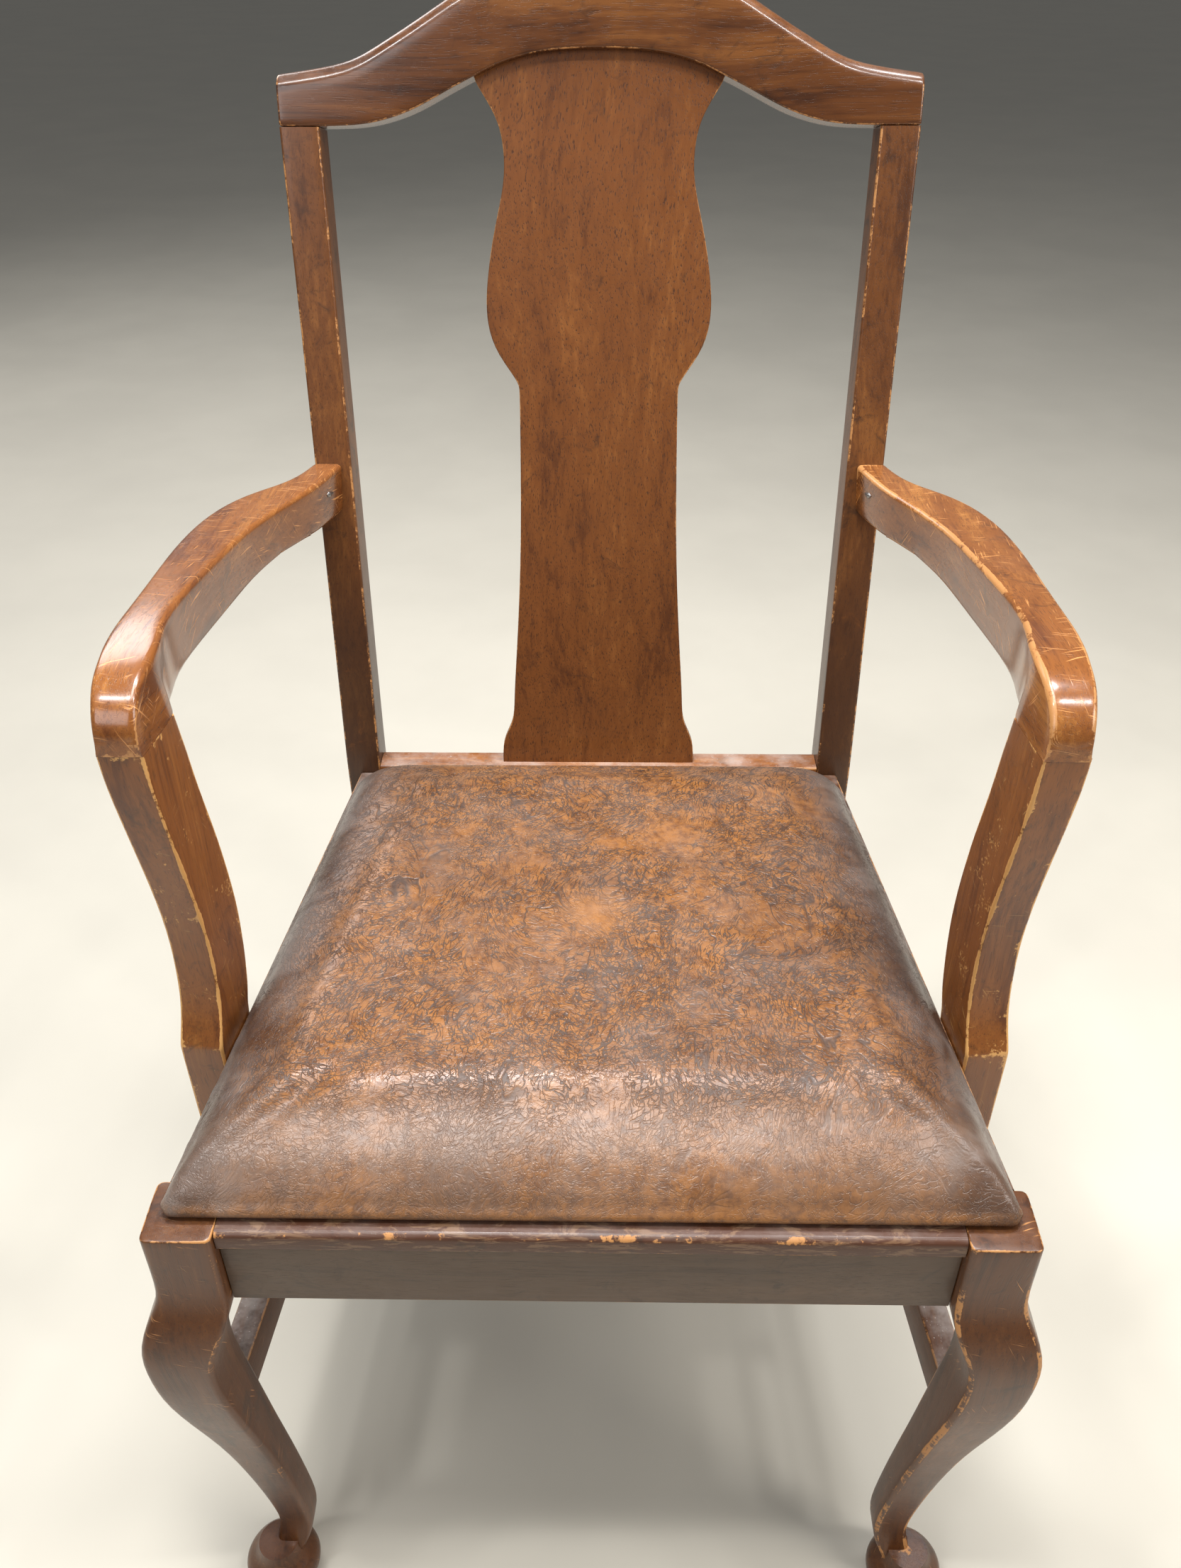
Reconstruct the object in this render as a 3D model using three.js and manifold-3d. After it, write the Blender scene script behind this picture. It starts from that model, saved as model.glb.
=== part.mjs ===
// Wooden dining armchair with cabriole front legs, a vase-shaped back splat, shaped arms and a
// slip seat. Millimetres, +Z up, the chair faces -Y. The origin ends up on the floor under the
// middle of the chair. Every piece is a solid of its own, cut and joined as in a joiner's shop.
import * as THREE from 'three';
import { mergeVertices } from 'three/addons/utils/BufferGeometryUtils.js';
import Module from 'manifold-3d';

const wasm = await Module();
wasm.setup();

// ---- driving dimensions --------------------------------------------------------------------
const GAP = 0.3; // clearance between neighbouring pieces

const FRAME_TOP = 437; // top of the front legs and of the front and side rails
const FRONT_WIDTH = 504; // across the outer faces of the front legs
const REAR_WIDTH = 422; // across the outer faces of the rear posts at the seat
const SEAT_DEPTH = 452; // front of the front legs to front of the rear posts

const LEG_BLOCK = 41; // square block at the top of a front leg
const KNEE_OUT = 15; // how far the knee stands out past the block
const ANKLE_HALF = 12; // half the thickness of a front leg at the ankle
const ANKLE_IN = 12; // how far the ankle sits in from the middle of the block
const PAD_RADIUS = 31.5; // pad foot of a front leg
const PAD_HEIGHT = 34;

const RAIL_HEIGHT = 68; // seat rails
const RAIL_THICK = 22;
const RAIL_RECESS = 9; // how far the rails stand back from the leg and post faces
const NOSE_OUT = 4; // rounded lip along the top of the front rail
const NOSE_HEIGHT = 15;
const REAR_RAIL_RISE = 7; // the rear rail stands this much above the others
const TENON_LENGTH = 12;
const TENON_THICK = 9;
const TENON_SHOULDER = 8;

const POST_WIDTH = 28; // rear post, seen from the front
const POST_DEPTH = 30; // rear post, seen from the side
const BACK_LENGTH = 479; // rear post from the rear rail's top to the crest joint
const BACK_RAKE = THREE.MathUtils.degToRad(13.3); // backward lean of the back
const BACK_SPLAY = 12; // how far each post leans outward over its length
const REAR_FOOT_BACK = 50; // rear foot behind the post's place at the seat
const REAR_FOOT_DEPTH = 25;

const CREST_END_HEIGHT = 34; // crest rail at its outer ends
const CREST_PEAK = 106; // crest joint to the top of the hump
const CREST_ARCH = 48; // crest joint to the top of the arch over the splat
const CREST_ARCH_HALF = 172; // half the span of the arch
const CREST_THICK = 27;

const SPLAT_THICK = 9;
const SPLAT_RECESS = 7; // splat face behind the face of the posts
const SPLAT_WAIST = 60; // half width of the straight shaft
const SPLAT_VASE = 82.5; // half width of the vase
const SPLAT_NECK = 67; // half width of the neck
const SPLAT_HEAD = 87; // half width under the crest
const SPLAT_FOOT = 80; // half width on the rear rail
const SPLAT_TENON = 9; // how deep its ends are housed

const ARM_SETBACK = 132; // front of the arm post behind the front of the front legs
const ARM_POST_THICK = 25;
const ARM_POST_DEPTH = 44;
const ARM_POST_BOW = 20; // how far the arm post bows backward
const ARM_POST_DROP = 66; // lap of the arm post below the frame's top
const ARM_JOINT = 240; // arm joint above the frame's top
const ARM_THICK = 38;
const ARM_FALL = 28; // how much lower the arm is at the rear post than at its front
const ARM_WIDEST = 39; // middle of the arm, seen from above
const ARM_NARROW = 27; // just behind the elbow
const ARM_END_WIDTH = 22; // at the rear post
const ARM_BULGE = 12; // how far the arm swells out past its post

const STRETCHER_THICK = 20;
const STRETCHER_HEIGHT = 35;
const STRETCHER_TOP = 252;
const CROSS_STRETCHER_BACK = 245; // middle of the cross stretcher behind the front of the legs
const HOUSING = 12; // how deep stretcher ends are housed

const SEAT_OVERHANG = 4; // seat edge inside the outer face of the side rails
const SEAT_FRONT_SETBACK = 11; // seat edge behind the front of the front legs
const SEAT_REAR_GAP = 12; // seat edge in front of the rear posts
const SEAT_CROWN = 41; // seat top above the frame's top
const SEAT_ROLL = 52; // width of the rounded edge
const BOARD_THICK = 12;
const COVER_THICK = 1.2;
const COVER_TURN_IN = 26;
const DUST_CLOTH_THICK = 0.8;

const SCREW_RADIUS = 2.2;
const SCREW_HEAD_RADIUS = 4.4;
const SCREW_HEAD_HEIGHT = 2.6;
const DOWEL_RADIUS = 4;
const DOWEL_LENGTH = 44;
const GLIDE_RADIUS = 9;
const GLIDE_THICK = 3;
const GLIDE_PIN_RADIUS = 1.5;
const GLIDE_PIN_LENGTH = 14;
const BLOCK_HEIGHT = 38; // corner blocks
const BLOCK_TOP_DROP = 8; // corner block below the frame's top
const BLOCK_REACH = 62; // corner block along each rail

// ---- sizes that follow ---------------------------------------------------------------------
const FRONT_HALF = FRONT_WIDTH / 2;
const REAR_HALF = REAR_WIDTH / 2;
const RAIL_BOTTOM = FRAME_TOP - RAIL_HEIGHT;
const REAR_RAIL_TOP = FRAME_TOP + REAR_RAIL_RISE;
const LEG_CENTRE_X = FRONT_HALF - LEG_BLOCK / 2;
const LEG_CENTRE_Y = LEG_BLOCK / 2;
const RAIL_FRONT_X = FRONT_HALF - RAIL_RECESS + 2; // outer face of a side rail at the front leg
const RAIL_REAR_X = REAR_HALF - RAIL_RECESS - 2; // outer face of a side rail at the rear post
const RAIL_SLANT = (RAIL_FRONT_X - RAIL_REAR_X) / (SEAT_DEPTH - LEG_BLOCK);
const SLANT_ANGLE = Math.atan(RAIL_SLANT);
const ARM_JOINT_Z = FRAME_TOP + ARM_JOINT;
const ARM_TOP_Z = ARM_JOINT_Z + ARM_THICK;

// ---- colours -------------------------------------------------------------------------------
const WOOD = { color: 0x5a3018, roughness: 0.38, metalness: 0 };
const SPLAT_WOOD = { color: 0x6b3a1a, roughness: 0.42, metalness: 0 };
const PLAIN_WOOD = { color: 0xa98558, roughness: 0.75, metalness: 0 };
const VINYL = { color: 0x54300f, roughness: 0.42, metalness: 0 };
const STUFFING = { color: 0xb9a27a, roughness: 0.95, metalness: 0 };
const CLOTH = { color: 0x1e1c1b, roughness: 0.95, metalness: 0 };
const STEEL = { color: 0x8a8a86, roughness: 0.4, metalness: 0.9 };

// ---- solids --------------------------------------------------------------------------------
function toSolid(geometry) {
  const bare = geometry.clone();
  bare.deleteAttribute('normal');
  bare.deleteAttribute('uv');
  const merged = mergeVertices(bare, 1e-4);
  const triVerts = new Uint32Array(merged.index.array);
  const vertProperties = new Float32Array(merged.attributes.position.array);
  return new wasm.Manifold(new wasm.Mesh({ numProp: 3, vertProperties, triVerts }));
}

function toGeometry(solid) {
  const mesh = solid.getMesh();
  const geometry = new THREE.BufferGeometry();
  geometry.setAttribute('position', new THREE.BufferAttribute(mesh.vertProperties.slice(), 3));
  geometry.setIndex(new THREE.BufferAttribute(mesh.triVerts.slice(), 1));
  const flat = geometry.toNonIndexed();
  flat.computeVertexNormals();
  return flat;
}

function join(first, ...others) {
  let solid = toSolid(first);
  for (const other of others) solid = solid.add(toSolid(other));
  return toGeometry(solid);
}

function cut(first, ...others) {
  let solid = toSolid(first);
  for (const other of others) solid = solid.subtract(toSolid(other));
  return toGeometry(solid);
}

function common(first, second) {
  return toGeometry(toSolid(first).intersect(toSolid(second)));
}

// The same solid on the other side of the chair.
function mirrored(geometry) {
  const copy = geometry.index ? geometry.toNonIndexed() : geometry.clone();
  const position = copy.attributes.position;
  for (let i = 0; i < position.count; i += 3) {
    const corner = [0, 1, 2].map((k) => new THREE.Vector3().fromBufferAttribute(position, i + k));
    const order = [0, 2, 1];
    order.forEach((from, k) => {
      position.setXYZ(i + k, -corner[from].x, corner[from].y, corner[from].z);
    });
  }
  copy.computeVertexNormals();
  return copy;
}

function slab(shape, depth, segments = 12) {
  return new THREE.ExtrudeGeometry(shape, { depth, bevelEnabled: false, curveSegments: segments });
}

const X = new THREE.Vector3(1, 0, 0);
const Y = new THREE.Vector3(0, 1, 0);
const Z = new THREE.Vector3(0, 0, 1);

// A front-view outline (x, z) sawn from a plank that lies between y and y + depth.
function frontSlab(shape, y, depth, segments) {
  const turn = new THREE.Matrix4().makeBasis(X, Z, Y.clone().negate());
  return slab(shape, depth, segments).applyMatrix4(turn).translate(0, y + depth, 0);
}

// A side-view outline (y, z) sawn from a plank that lies between x and x + width.
function sideSlab(shape, x, width, segments) {
  const turn = new THREE.Matrix4().makeBasis(Y, Z, X);
  return slab(shape, width, segments).applyMatrix4(turn).translate(x, 0, 0);
}

// A plan outline (x, y) sawn from a plank that lies between z and z + height.
function planSlab(shape, z, height, segments) {
  return slab(shape, height, segments).translate(0, 0, z);
}

function box(x0, x1, y0, y1, z0, z1) {
  const geometry = new THREE.BoxGeometry(x1 - x0, y1 - y0, z1 - z0);
  return geometry.translate((x0 + x1) / 2, (y0 + y1) / 2, (z0 + z1) / 2);
}

function outline(points) {
  return new THREE.Shape(points.map(([u, v]) => new THREE.Vector2(u, v)));
}

function bezier(shape, first, second, end) {
  shape.bezierCurveTo(first[0], first[1], second[0], second[1], end[0], end[1]);
}

function spline(shape, points) {
  shape.splineThru(points.map(([u, v]) => new THREE.Vector2(u, v)));
}

// A straight bar from one point to another with an upright rectangular section.
function bar(from, to, thick, height) {
  const start = new THREE.Vector3(...from);
  const run = new THREE.Vector3(...to).sub(start);
  const geometry = new THREE.BoxGeometry(run.length(), thick, height);
  geometry.translate(run.length() / 2, 0, -height / 2);
  geometry.rotateZ(Math.atan2(run.y, run.x));
  return geometry.translate(start.x, start.y, start.z);
}

// A turned piece: profile points are [radius, height], pointed along a direction from a place.
function turned(profile, place, direction, segments = 16) {
  const points = profile.map(([radius, height]) => new THREE.Vector2(radius, height));
  const geometry = new THREE.LatheGeometry(points, segments);
  const turn = new THREE.Quaternion().setFromUnitVectors(Y, direction.clone().normalize());
  return geometry.applyQuaternion(turn).translate(place.x, place.y, place.z);
}

function rod(radius, length, place, direction, segments) {
  return turned([[0, 0], [radius, 0], [radius, length], [0, length]], place, direction, segments);
}

function screwShape(length, grow, place, direction) {
  const shank = SCREW_RADIUS + grow;
  const head = SCREW_HEAD_RADIUS + grow;
  const profile = [
    [0, -grow], [head, -grow], [head, 0.6], [shank, SCREW_HEAD_HEIGHT + grow],
    [shank, length - 3], [0.4 + grow, length + grow], [0, length + grow],
  ];
  return turned(profile, place, direction, 12);
}

// ---- the chair's scene graph ---------------------------------------------------------------
const chair = new THREE.Group();

function group() {
  const child = new THREE.Group();
  chair.add(child);
  return child;
}

function piece(parent, name, geometry, look) {
  const mesh = new THREE.Mesh(geometry, new THREE.MeshStandardMaterial(look));
  mesh.name = name;
  parent.add(mesh);
  return mesh;
}

function pair(parent, name, rightGeometry, look) {
  piece(parent, `${name}_right`, rightGeometry, look);
  piece(parent, `${name}_left`, mirrored(rightGeometry), look);
}

// ---- seat rails ----------------------------------------------------------------------------
function sideRailX(y) {
  return RAIL_FRONT_X - RAIL_SLANT * (y - LEG_BLOCK);
}

function railTenon(x0, x1, y0, y1, grow) {
  return box(x0 - grow, x1 + grow, y0 - grow, y1 + grow,
    RAIL_BOTTOM + TENON_SHOULDER - grow, FRAME_TOP - TENON_SHOULDER + grow);
}

// Tenon at the right end of the front rail.
function frontTenon(grow) {
  const x = FRONT_HALF - LEG_BLOCK;
  const y = RAIL_RECESS + (RAIL_THICK - TENON_THICK) / 2;
  return railTenon(x - 2 * GAP, x + TENON_LENGTH, y, y + TENON_THICK, grow);
}

// In the rear post the side rail's tenon lies outside, and the rear rail's tenon stops short of it.
function sideRearTenonX() {
  return sideRailX(SEAT_DEPTH) - 1 - TENON_THICK;
}

// Tenon at the right end of the rear rail.
function rearTenon(grow) {
  const y = SEAT_DEPTH + (RAIL_THICK - TENON_THICK) / 2;
  return railTenon(REAR_HALF - POST_WIDTH - 2 * GAP, sideRearTenonX() - 3 * GAP,
    y, y + TENON_THICK, grow);
}

// Tenons of the right side rail, square to the leg and the post.
function sideFrontTenon(grow) {
  const x = sideRailX(LEG_BLOCK) - RAIL_THICK / 2;
  return railTenon(x - TENON_THICK / 2, x + TENON_THICK / 2,
    LEG_BLOCK - TENON_LENGTH + 4, LEG_BLOCK + 2 * GAP, grow);
}

function sideRearTenon(grow) {
  const x = sideRearTenonX();
  return railTenon(x, x + TENON_THICK, SEAT_DEPTH - 2 * GAP, SEAT_DEPTH + TENON_LENGTH, grow);
}

function frontRail() {
  const end = FRONT_HALF - LEG_BLOCK - GAP;
  const face = RAIL_RECESS;
  const nose = face - NOSE_OUT;
  const noseBottom = FRAME_TOP - NOSE_HEIGHT;
  const section = new THREE.Shape();
  section.moveTo(face, RAIL_BOTTOM);
  section.lineTo(face, noseBottom);
  bezier(section, [nose - 1.5, noseBottom + 1], [nose - 1.5, FRAME_TOP - 1], [face + 3, FRAME_TOP]);
  section.lineTo(face + RAIL_THICK, FRAME_TOP);
  section.lineTo(face + RAIL_THICK, RAIL_BOTTOM);
  return join(sideSlab(section, -end, 2 * end, 8), frontTenon(0), mirrored(frontTenon(0)));
}

function rearRail() {
  const end = REAR_HALF - POST_WIDTH - GAP;
  const bead = 2.5;
  const section = outline([
    [SEAT_DEPTH, RAIL_BOTTOM], [SEAT_DEPTH, REAR_RAIL_TOP - bead],
    [SEAT_DEPTH + bead, REAR_RAIL_TOP], [SEAT_DEPTH + RAIL_THICK, REAR_RAIL_TOP],
    [SEAT_DEPTH + RAIL_THICK, RAIL_BOTTOM],
  ]);
  const body = join(sideSlab(section, -end, 2 * end), rearTenon(0), mirrored(rearTenon(0)));
  return cut(body, splat(GAP));
}

function sideRail() {
  const y0 = LEG_BLOCK + GAP;
  const y1 = SEAT_DEPTH - GAP;
  const plan = outline([
    [sideRailX(y0), y0], [sideRailX(y1), y1],
    [sideRailX(y1) - RAIL_THICK, y1], [sideRailX(y0) - RAIL_THICK, y0],
  ]);
  return join(planSlab(plan, RAIL_BOTTOM, RAIL_HEIGHT), sideFrontTenon(0), sideRearTenon(0));
}

// ---- front legs ----------------------------------------------------------------------------
// One outline serves both saw cuts. It is measured outward from the middle of the block.
function cabrioleOutline() {
  const half = LEG_BLOCK / 2;
  const foot = GLIDE_THICK + 6;
  const ankleZ = PAD_HEIGHT + 27;
  const kneeZ = 0.72 * FRAME_TOP;
  const kneeOut = half + KNEE_OUT;
  const ankleOut = ANKLE_HALF - ANKLE_IN;
  const ankleInner = -ANKLE_HALF - ANKLE_IN;
  const span = kneeZ - ankleZ;
  const shape = new THREE.Shape();
  shape.moveTo(-half, FRAME_TOP);
  shape.lineTo(half, FRAME_TOP);
  shape.lineTo(half, RAIL_BOTTOM + 14);
  spline(shape, [
    [half + 0.35 * KNEE_OUT, RAIL_BOTTOM - 1],
    [half + 0.82 * KNEE_OUT, RAIL_BOTTOM - 20],
    [kneeOut, kneeZ],
    [kneeOut - 0.28 * (kneeOut - ankleOut), kneeZ - 0.25 * span],
    [ankleOut + 0.4 * (kneeOut - ankleOut), kneeZ - 0.52 * span],
    [ankleOut + 0.15 * (kneeOut - ankleOut), ankleZ + 0.22 * span],
    [ankleOut, ankleZ],
    [ankleOut + 2, foot],
  ]);
  shape.lineTo(ankleInner + 1, foot);
  spline(shape, [
    [ankleInner, ankleZ],
    [ankleInner + 3.5, ankleZ + 0.25 * span],
    [ankleInner + 10, kneeZ - 0.48 * span],
    [-half + 0.78 * KNEE_OUT, kneeZ - 0.22 * span],
    [-half + 0.97 * KNEE_OUT, kneeZ],
    [-half + 0.5 * KNEE_OUT, RAIL_BOTTOM - 20],
    [-half, RAIL_BOTTOM - 2],
  ]);
  return shape;
}

function padFoot() {
  const rim = GLIDE_THICK + 10;
  const profile = [
    [0, GLIDE_THICK], [PAD_RADIUS - 8, GLIDE_THICK], [PAD_RADIUS - 2, GLIDE_THICK + 3],
    [PAD_RADIUS, rim], [PAD_RADIUS - 1.5, rim + 6], [PAD_RADIUS - 7, rim + 12],
    [PAD_RADIUS - 15, rim + 18], [0, PAD_HEIGHT],
  ];
  return turned(profile, new THREE.Vector3(LEG_CENTRE_X - 1, LEG_CENTRE_Y + 1, 0), Z, 28);
}

function frontLeg() {
  const reach = LEG_BLOCK + 2 * KNEE_OUT;
  const shape = cabrioleOutline();
  const acrossView = frontSlab(shape, LEG_CENTRE_Y - reach, 2 * reach, 5);
  acrossView.translate(LEG_CENTRE_X, 0, 0);
  const sideView = sideSlab(shape, -reach, 2 * reach, 5);
  sideView.applyMatrix4(new THREE.Matrix4().makeRotationZ(Math.PI));
  sideView.translate(LEG_CENTRE_X, LEG_CENTRE_Y, 0);
  const column = common(acrossView, sideView);
  return cut(join(column, padFoot()), frontTenon(GAP), sideFrontTenon(GAP),
    sideStretcher(GAP), glidePin(frontFoot(), GAP));
}

// ---- rear posts ----------------------------------------------------------------------------
const BACK_UP = new THREE.Vector3(0, Math.sin(BACK_RAKE), Math.cos(BACK_RAKE));
const BACK_IN = new THREE.Vector3(0, Math.cos(BACK_RAKE), -Math.sin(BACK_RAKE));

// A point of the leaning back: across, up along the post and in from the posts' front face.
function backPoint(x, up, inward) {
  return new THREE.Vector3(x, SEAT_DEPTH, REAR_RAIL_TOP)
    .addScaledVector(BACK_UP, up).addScaledVector(BACK_IN, inward);
}

// Leans a solid that was drawn upright on the rear rail.
function leaned(geometry) {
  return geometry.rotateX(-BACK_RAKE).translate(0, SEAT_DEPTH, REAR_RAIL_TOP);
}

function rearPost() {
  const topFront = backPoint(0, BACK_LENGTH - GAP, 0);
  const topBack = backPoint(0, BACK_LENGTH - GAP, POST_DEPTH);
  const bendBack = backPoint(0, 0, POST_DEPTH);
  const footFront = SEAT_DEPTH + REAR_FOOT_BACK;
  const side = new THREE.Shape();
  side.moveTo(footFront, GLIDE_THICK);
  side.quadraticCurveTo(SEAT_DEPTH + 2, 0.5 * RAIL_BOTTOM, SEAT_DEPTH, RAIL_BOTTOM);
  side.lineTo(SEAT_DEPTH, REAR_RAIL_TOP);
  side.lineTo(topFront.y, topFront.z);
  side.lineTo(topBack.y, topBack.z);
  side.lineTo(bendBack.y, bendBack.z + 20);
  side.quadraticCurveTo(SEAT_DEPTH + POST_DEPTH, FRAME_TOP - 10, SEAT_DEPTH + POST_DEPTH, RAIL_BOTTOM);
  side.quadraticCurveTo(SEAT_DEPTH + POST_DEPTH + 1, 0.5 * RAIL_BOTTOM,
    footFront + REAR_FOOT_DEPTH, GLIDE_THICK);
  const front = outline([
    [REAR_HALF - POST_WIDTH + 2, GLIDE_THICK], [REAR_HALF, GLIDE_THICK],
    [REAR_HALF, REAR_RAIL_TOP], [REAR_HALF + BACK_SPLAY, topFront.z],
    [REAR_HALF + BACK_SPLAY, topFront.z + 10], [REAR_HALF + BACK_SPLAY - POST_WIDTH, topFront.z + 10],
    [REAR_HALF + BACK_SPLAY - POST_WIDTH, topFront.z],
    [REAR_HALF - POST_WIDTH, REAR_RAIL_TOP], [REAR_HALF - POST_WIDTH, RAIL_BOTTOM],
  ]);
  const depth = SEAT_DEPTH + BACK_LENGTH;
  const blank = common(sideSlab(side, REAR_HALF - 3 * POST_WIDTH, 6 * POST_WIDTH, 10),
    frontSlab(front, 0, depth));
  return cut(blank, rearTenon(GAP), sideRearTenon(GAP), sideStretcher(GAP),
    ...crestDowels(GAP), armScrew(GAP), glidePin(rearFoot(), GAP));
}

function postCentreX(up) {
  return REAR_HALF - POST_WIDTH / 2 + BACK_SPLAY * up / BACK_LENGTH;
}

// ---- crest rail ----------------------------------------------------------------------------
function crestOutline() {
  const end = REAR_HALF + BACK_SPLAY;
  const shape = new THREE.Shape();
  shape.moveTo(end, 0);
  shape.lineTo(end, CREST_END_HEIGHT - 3);
  shape.quadraticCurveTo(end, CREST_END_HEIGHT, end - 4, CREST_END_HEIGHT);
  bezier(shape, [0.72 * end, CREST_END_HEIGHT + 2], [0.3 * end, CREST_PEAK], [0, CREST_PEAK]);
  bezier(shape, [-0.3 * end, CREST_PEAK], [-0.72 * end, CREST_END_HEIGHT + 2],
    [4 - end, CREST_END_HEIGHT]);
  shape.quadraticCurveTo(-end, CREST_END_HEIGHT, -end, CREST_END_HEIGHT - 3);
  shape.lineTo(-end, 0);
  shape.lineTo(-CREST_ARCH_HALF, 0);
  bezier(shape, [-0.65 * CREST_ARCH_HALF, 0], [-0.55 * CREST_ARCH_HALF, CREST_ARCH],
    [0, CREST_ARCH]);
  bezier(shape, [0.55 * CREST_ARCH_HALF, CREST_ARCH], [0.65 * CREST_ARCH_HALF, 0],
    [CREST_ARCH_HALF, 0]);
  return shape;
}

function crestRail() {
  const upright = frontSlab(crestOutline(), 0, CREST_THICK, 14).translate(0, 0, BACK_LENGTH);
  return cut(leaned(upright), splat(GAP), ...crestDowels(GAP), ...crestDowels(GAP).map(mirrored));
}

// Two dowels stand in each crest joint. These are the right-hand ones.
function crestDowels(grow) {
  const length = DOWEL_LENGTH + 2 * grow;
  return [-1, 1].map((row) => {
    const inward = CREST_THICK / 2 + row * 6.5;
    const start = backPoint(postCentreX(BACK_LENGTH), BACK_LENGTH - length / 2, inward);
    return rod(DOWEL_RADIUS + grow - (grow ? 0 : 0.2), length, start, BACK_UP, 12);
  });
}

// ---- splat ---------------------------------------------------------------------------------
// The vase's heights are measured up from the rear rail. The head follows the crest joint.
function splat(grow) {
  const head = BACK_LENGTH + 30;
  const vase = 360;
  const notch = vase - 56;
  const right = [
    [SPLAT_FOOT - 0.5, 18], [SPLAT_FOOT - 9, 38], [SPLAT_WAIST + 9, 66],
    [SPLAT_WAIST + 4.5, 122], [SPLAT_WAIST + 1, 190], [SPLAT_WAIST, notch],
  ];
  const vaseSide = [
    [SPLAT_VASE - 7, vase - 32], [SPLAT_VASE, vase], [SPLAT_VASE - 4, vase + 38],
    [SPLAT_NECK + 5, vase + 66], [SPLAT_NECK, vase + 92], [SPLAT_NECK + 5, vase + 124],
    [SPLAT_HEAD - 7, vase + 138], [SPLAT_HEAD, head],
  ];
  const flip = (points) => points.map(([u, v]) => [-u, v]).reverse();
  const top = BACK_LENGTH + CREST_ARCH + SPLAT_TENON;
  const shape = new THREE.Shape();
  shape.moveTo(SPLAT_FOOT, -6);
  spline(shape, right);
  spline(shape, vaseSide);
  shape.lineTo(SPLAT_HEAD, top);
  shape.lineTo(-SPLAT_HEAD, top);
  shape.lineTo(-SPLAT_HEAD, head);
  spline(shape, flip(vaseSide).slice(1));
  shape.lineTo(-SPLAT_WAIST, notch);
  spline(shape, flip(right).slice(1));
  shape.lineTo(-SPLAT_FOOT, -6);
  const board = frontSlab(shape, SPLAT_RECESS, SPLAT_THICK, 3);
  const tongue = box(15 - SPLAT_FOOT, SPLAT_FOOT - 15, SPLAT_RECESS, SPLAT_RECESS + SPLAT_THICK,
    -SPLAT_TENON, 6);
  if (!grow) {
    const below = box(-REAR_HALF, REAR_HALF, SEAT_DEPTH - 50, SEAT_DEPTH + 100,
      RAIL_BOTTOM, REAR_RAIL_TOP + GAP);
    return join(cut(leaned(board), below), leaned(tongue));
  }
  const housing = box(-SPLAT_HEAD - grow, SPLAT_HEAD + grow, SPLAT_RECESS - grow,
    SPLAT_RECESS + SPLAT_THICK + grow, head - 60, top + grow);
  const mortise = box(15 - SPLAT_FOOT - grow, SPLAT_FOOT - 15 + grow, SPLAT_RECESS - grow,
    SPLAT_RECESS + SPLAT_THICK + grow, -SPLAT_TENON - grow, 12);
  return leaned(join(housing, mortise));
}

// ---- arm posts and arms --------------------------------------------------------------------
// Side-view outline of the arm post. It bows backward between the seat and the arm.
function armPostOutline() {
  const front = ARM_SETBACK;
  const back = ARM_SETBACK + ARM_POST_DEPTH;
  const low = FRAME_TOP + 10;
  const high = ARM_JOINT_Z - GAP;
  const shape = new THREE.Shape();
  shape.moveTo(front, FRAME_TOP - ARM_POST_DROP);
  shape.lineTo(front, low);
  bezier(shape, [front + 1.9 * ARM_POST_BOW, low + 0.23 * ARM_JOINT],
    [front + 0.6 * ARM_POST_BOW, low + 0.67 * ARM_JOINT], [front, high]);
  shape.lineTo(back - 2, high);
  bezier(shape, [back + 0.1 * ARM_POST_BOW, low + 0.67 * ARM_JOINT],
    [back + 1.7 * ARM_POST_BOW, low + 0.19 * ARM_JOINT], [back, low]);
  shape.lineTo(back, FRAME_TOP - ARM_POST_DROP + 5);
  shape.lineTo(back - 5, FRAME_TOP - ARM_POST_DROP);
  return shape;
}

// The post stands against the slanting outer face of the side rail.
function turnToRail(geometry) {
  const x = sideRailX(ARM_SETBACK) + GAP;
  geometry.translate(0, -ARM_SETBACK, 0);
  geometry.rotateZ(SLANT_ANGLE);
  return geometry.translate(x, ARM_SETBACK, 0);
}

function armPost() {
  const blank = turnToRail(sideSlab(armPostOutline(), 0, ARM_POST_THICK, 14));
  return cut(blank, ...armDowels(GAP), ...armPostScrews(GAP));
}

// Side-view outline of the arm: its top and its underside fall toward the back.
function armSideOutline(front, back) {
  const fall = (share) => ARM_FALL * share;
  const shape = new THREE.Shape();
  shape.moveTo(front, ARM_JOINT_Z);
  shape.lineTo(front, ARM_JOINT_Z + 0.4 * ARM_THICK);
  bezier(shape, [front, ARM_JOINT_Z + 0.85 * ARM_THICK], [front + 12, ARM_TOP_Z],
    [front + 34, ARM_TOP_Z - 0.5]);
  bezier(shape, [front + 120, ARM_TOP_Z - fall(0.2)], [back - 150, ARM_TOP_Z - fall(0.85)],
    [back, ARM_TOP_Z - fall(1)]);
  shape.lineTo(back, ARM_TOP_Z - fall(1) - ARM_THICK + 2);
  bezier(shape, [back - 130, ARM_JOINT_Z - fall(0.72)], [front + 150, ARM_JOINT_Z - fall(0.42)],
    [front + ARM_POST_DEPTH + 22, ARM_JOINT_Z + 2]);
  bezier(shape, [front + ARM_POST_DEPTH + 10, ARM_JOINT_Z + 4],
    [front + ARM_POST_DEPTH + 2, ARM_JOINT_Z + 3], [front + ARM_POST_DEPTH - 2, ARM_JOINT_Z]);
  return shape;
}

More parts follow.
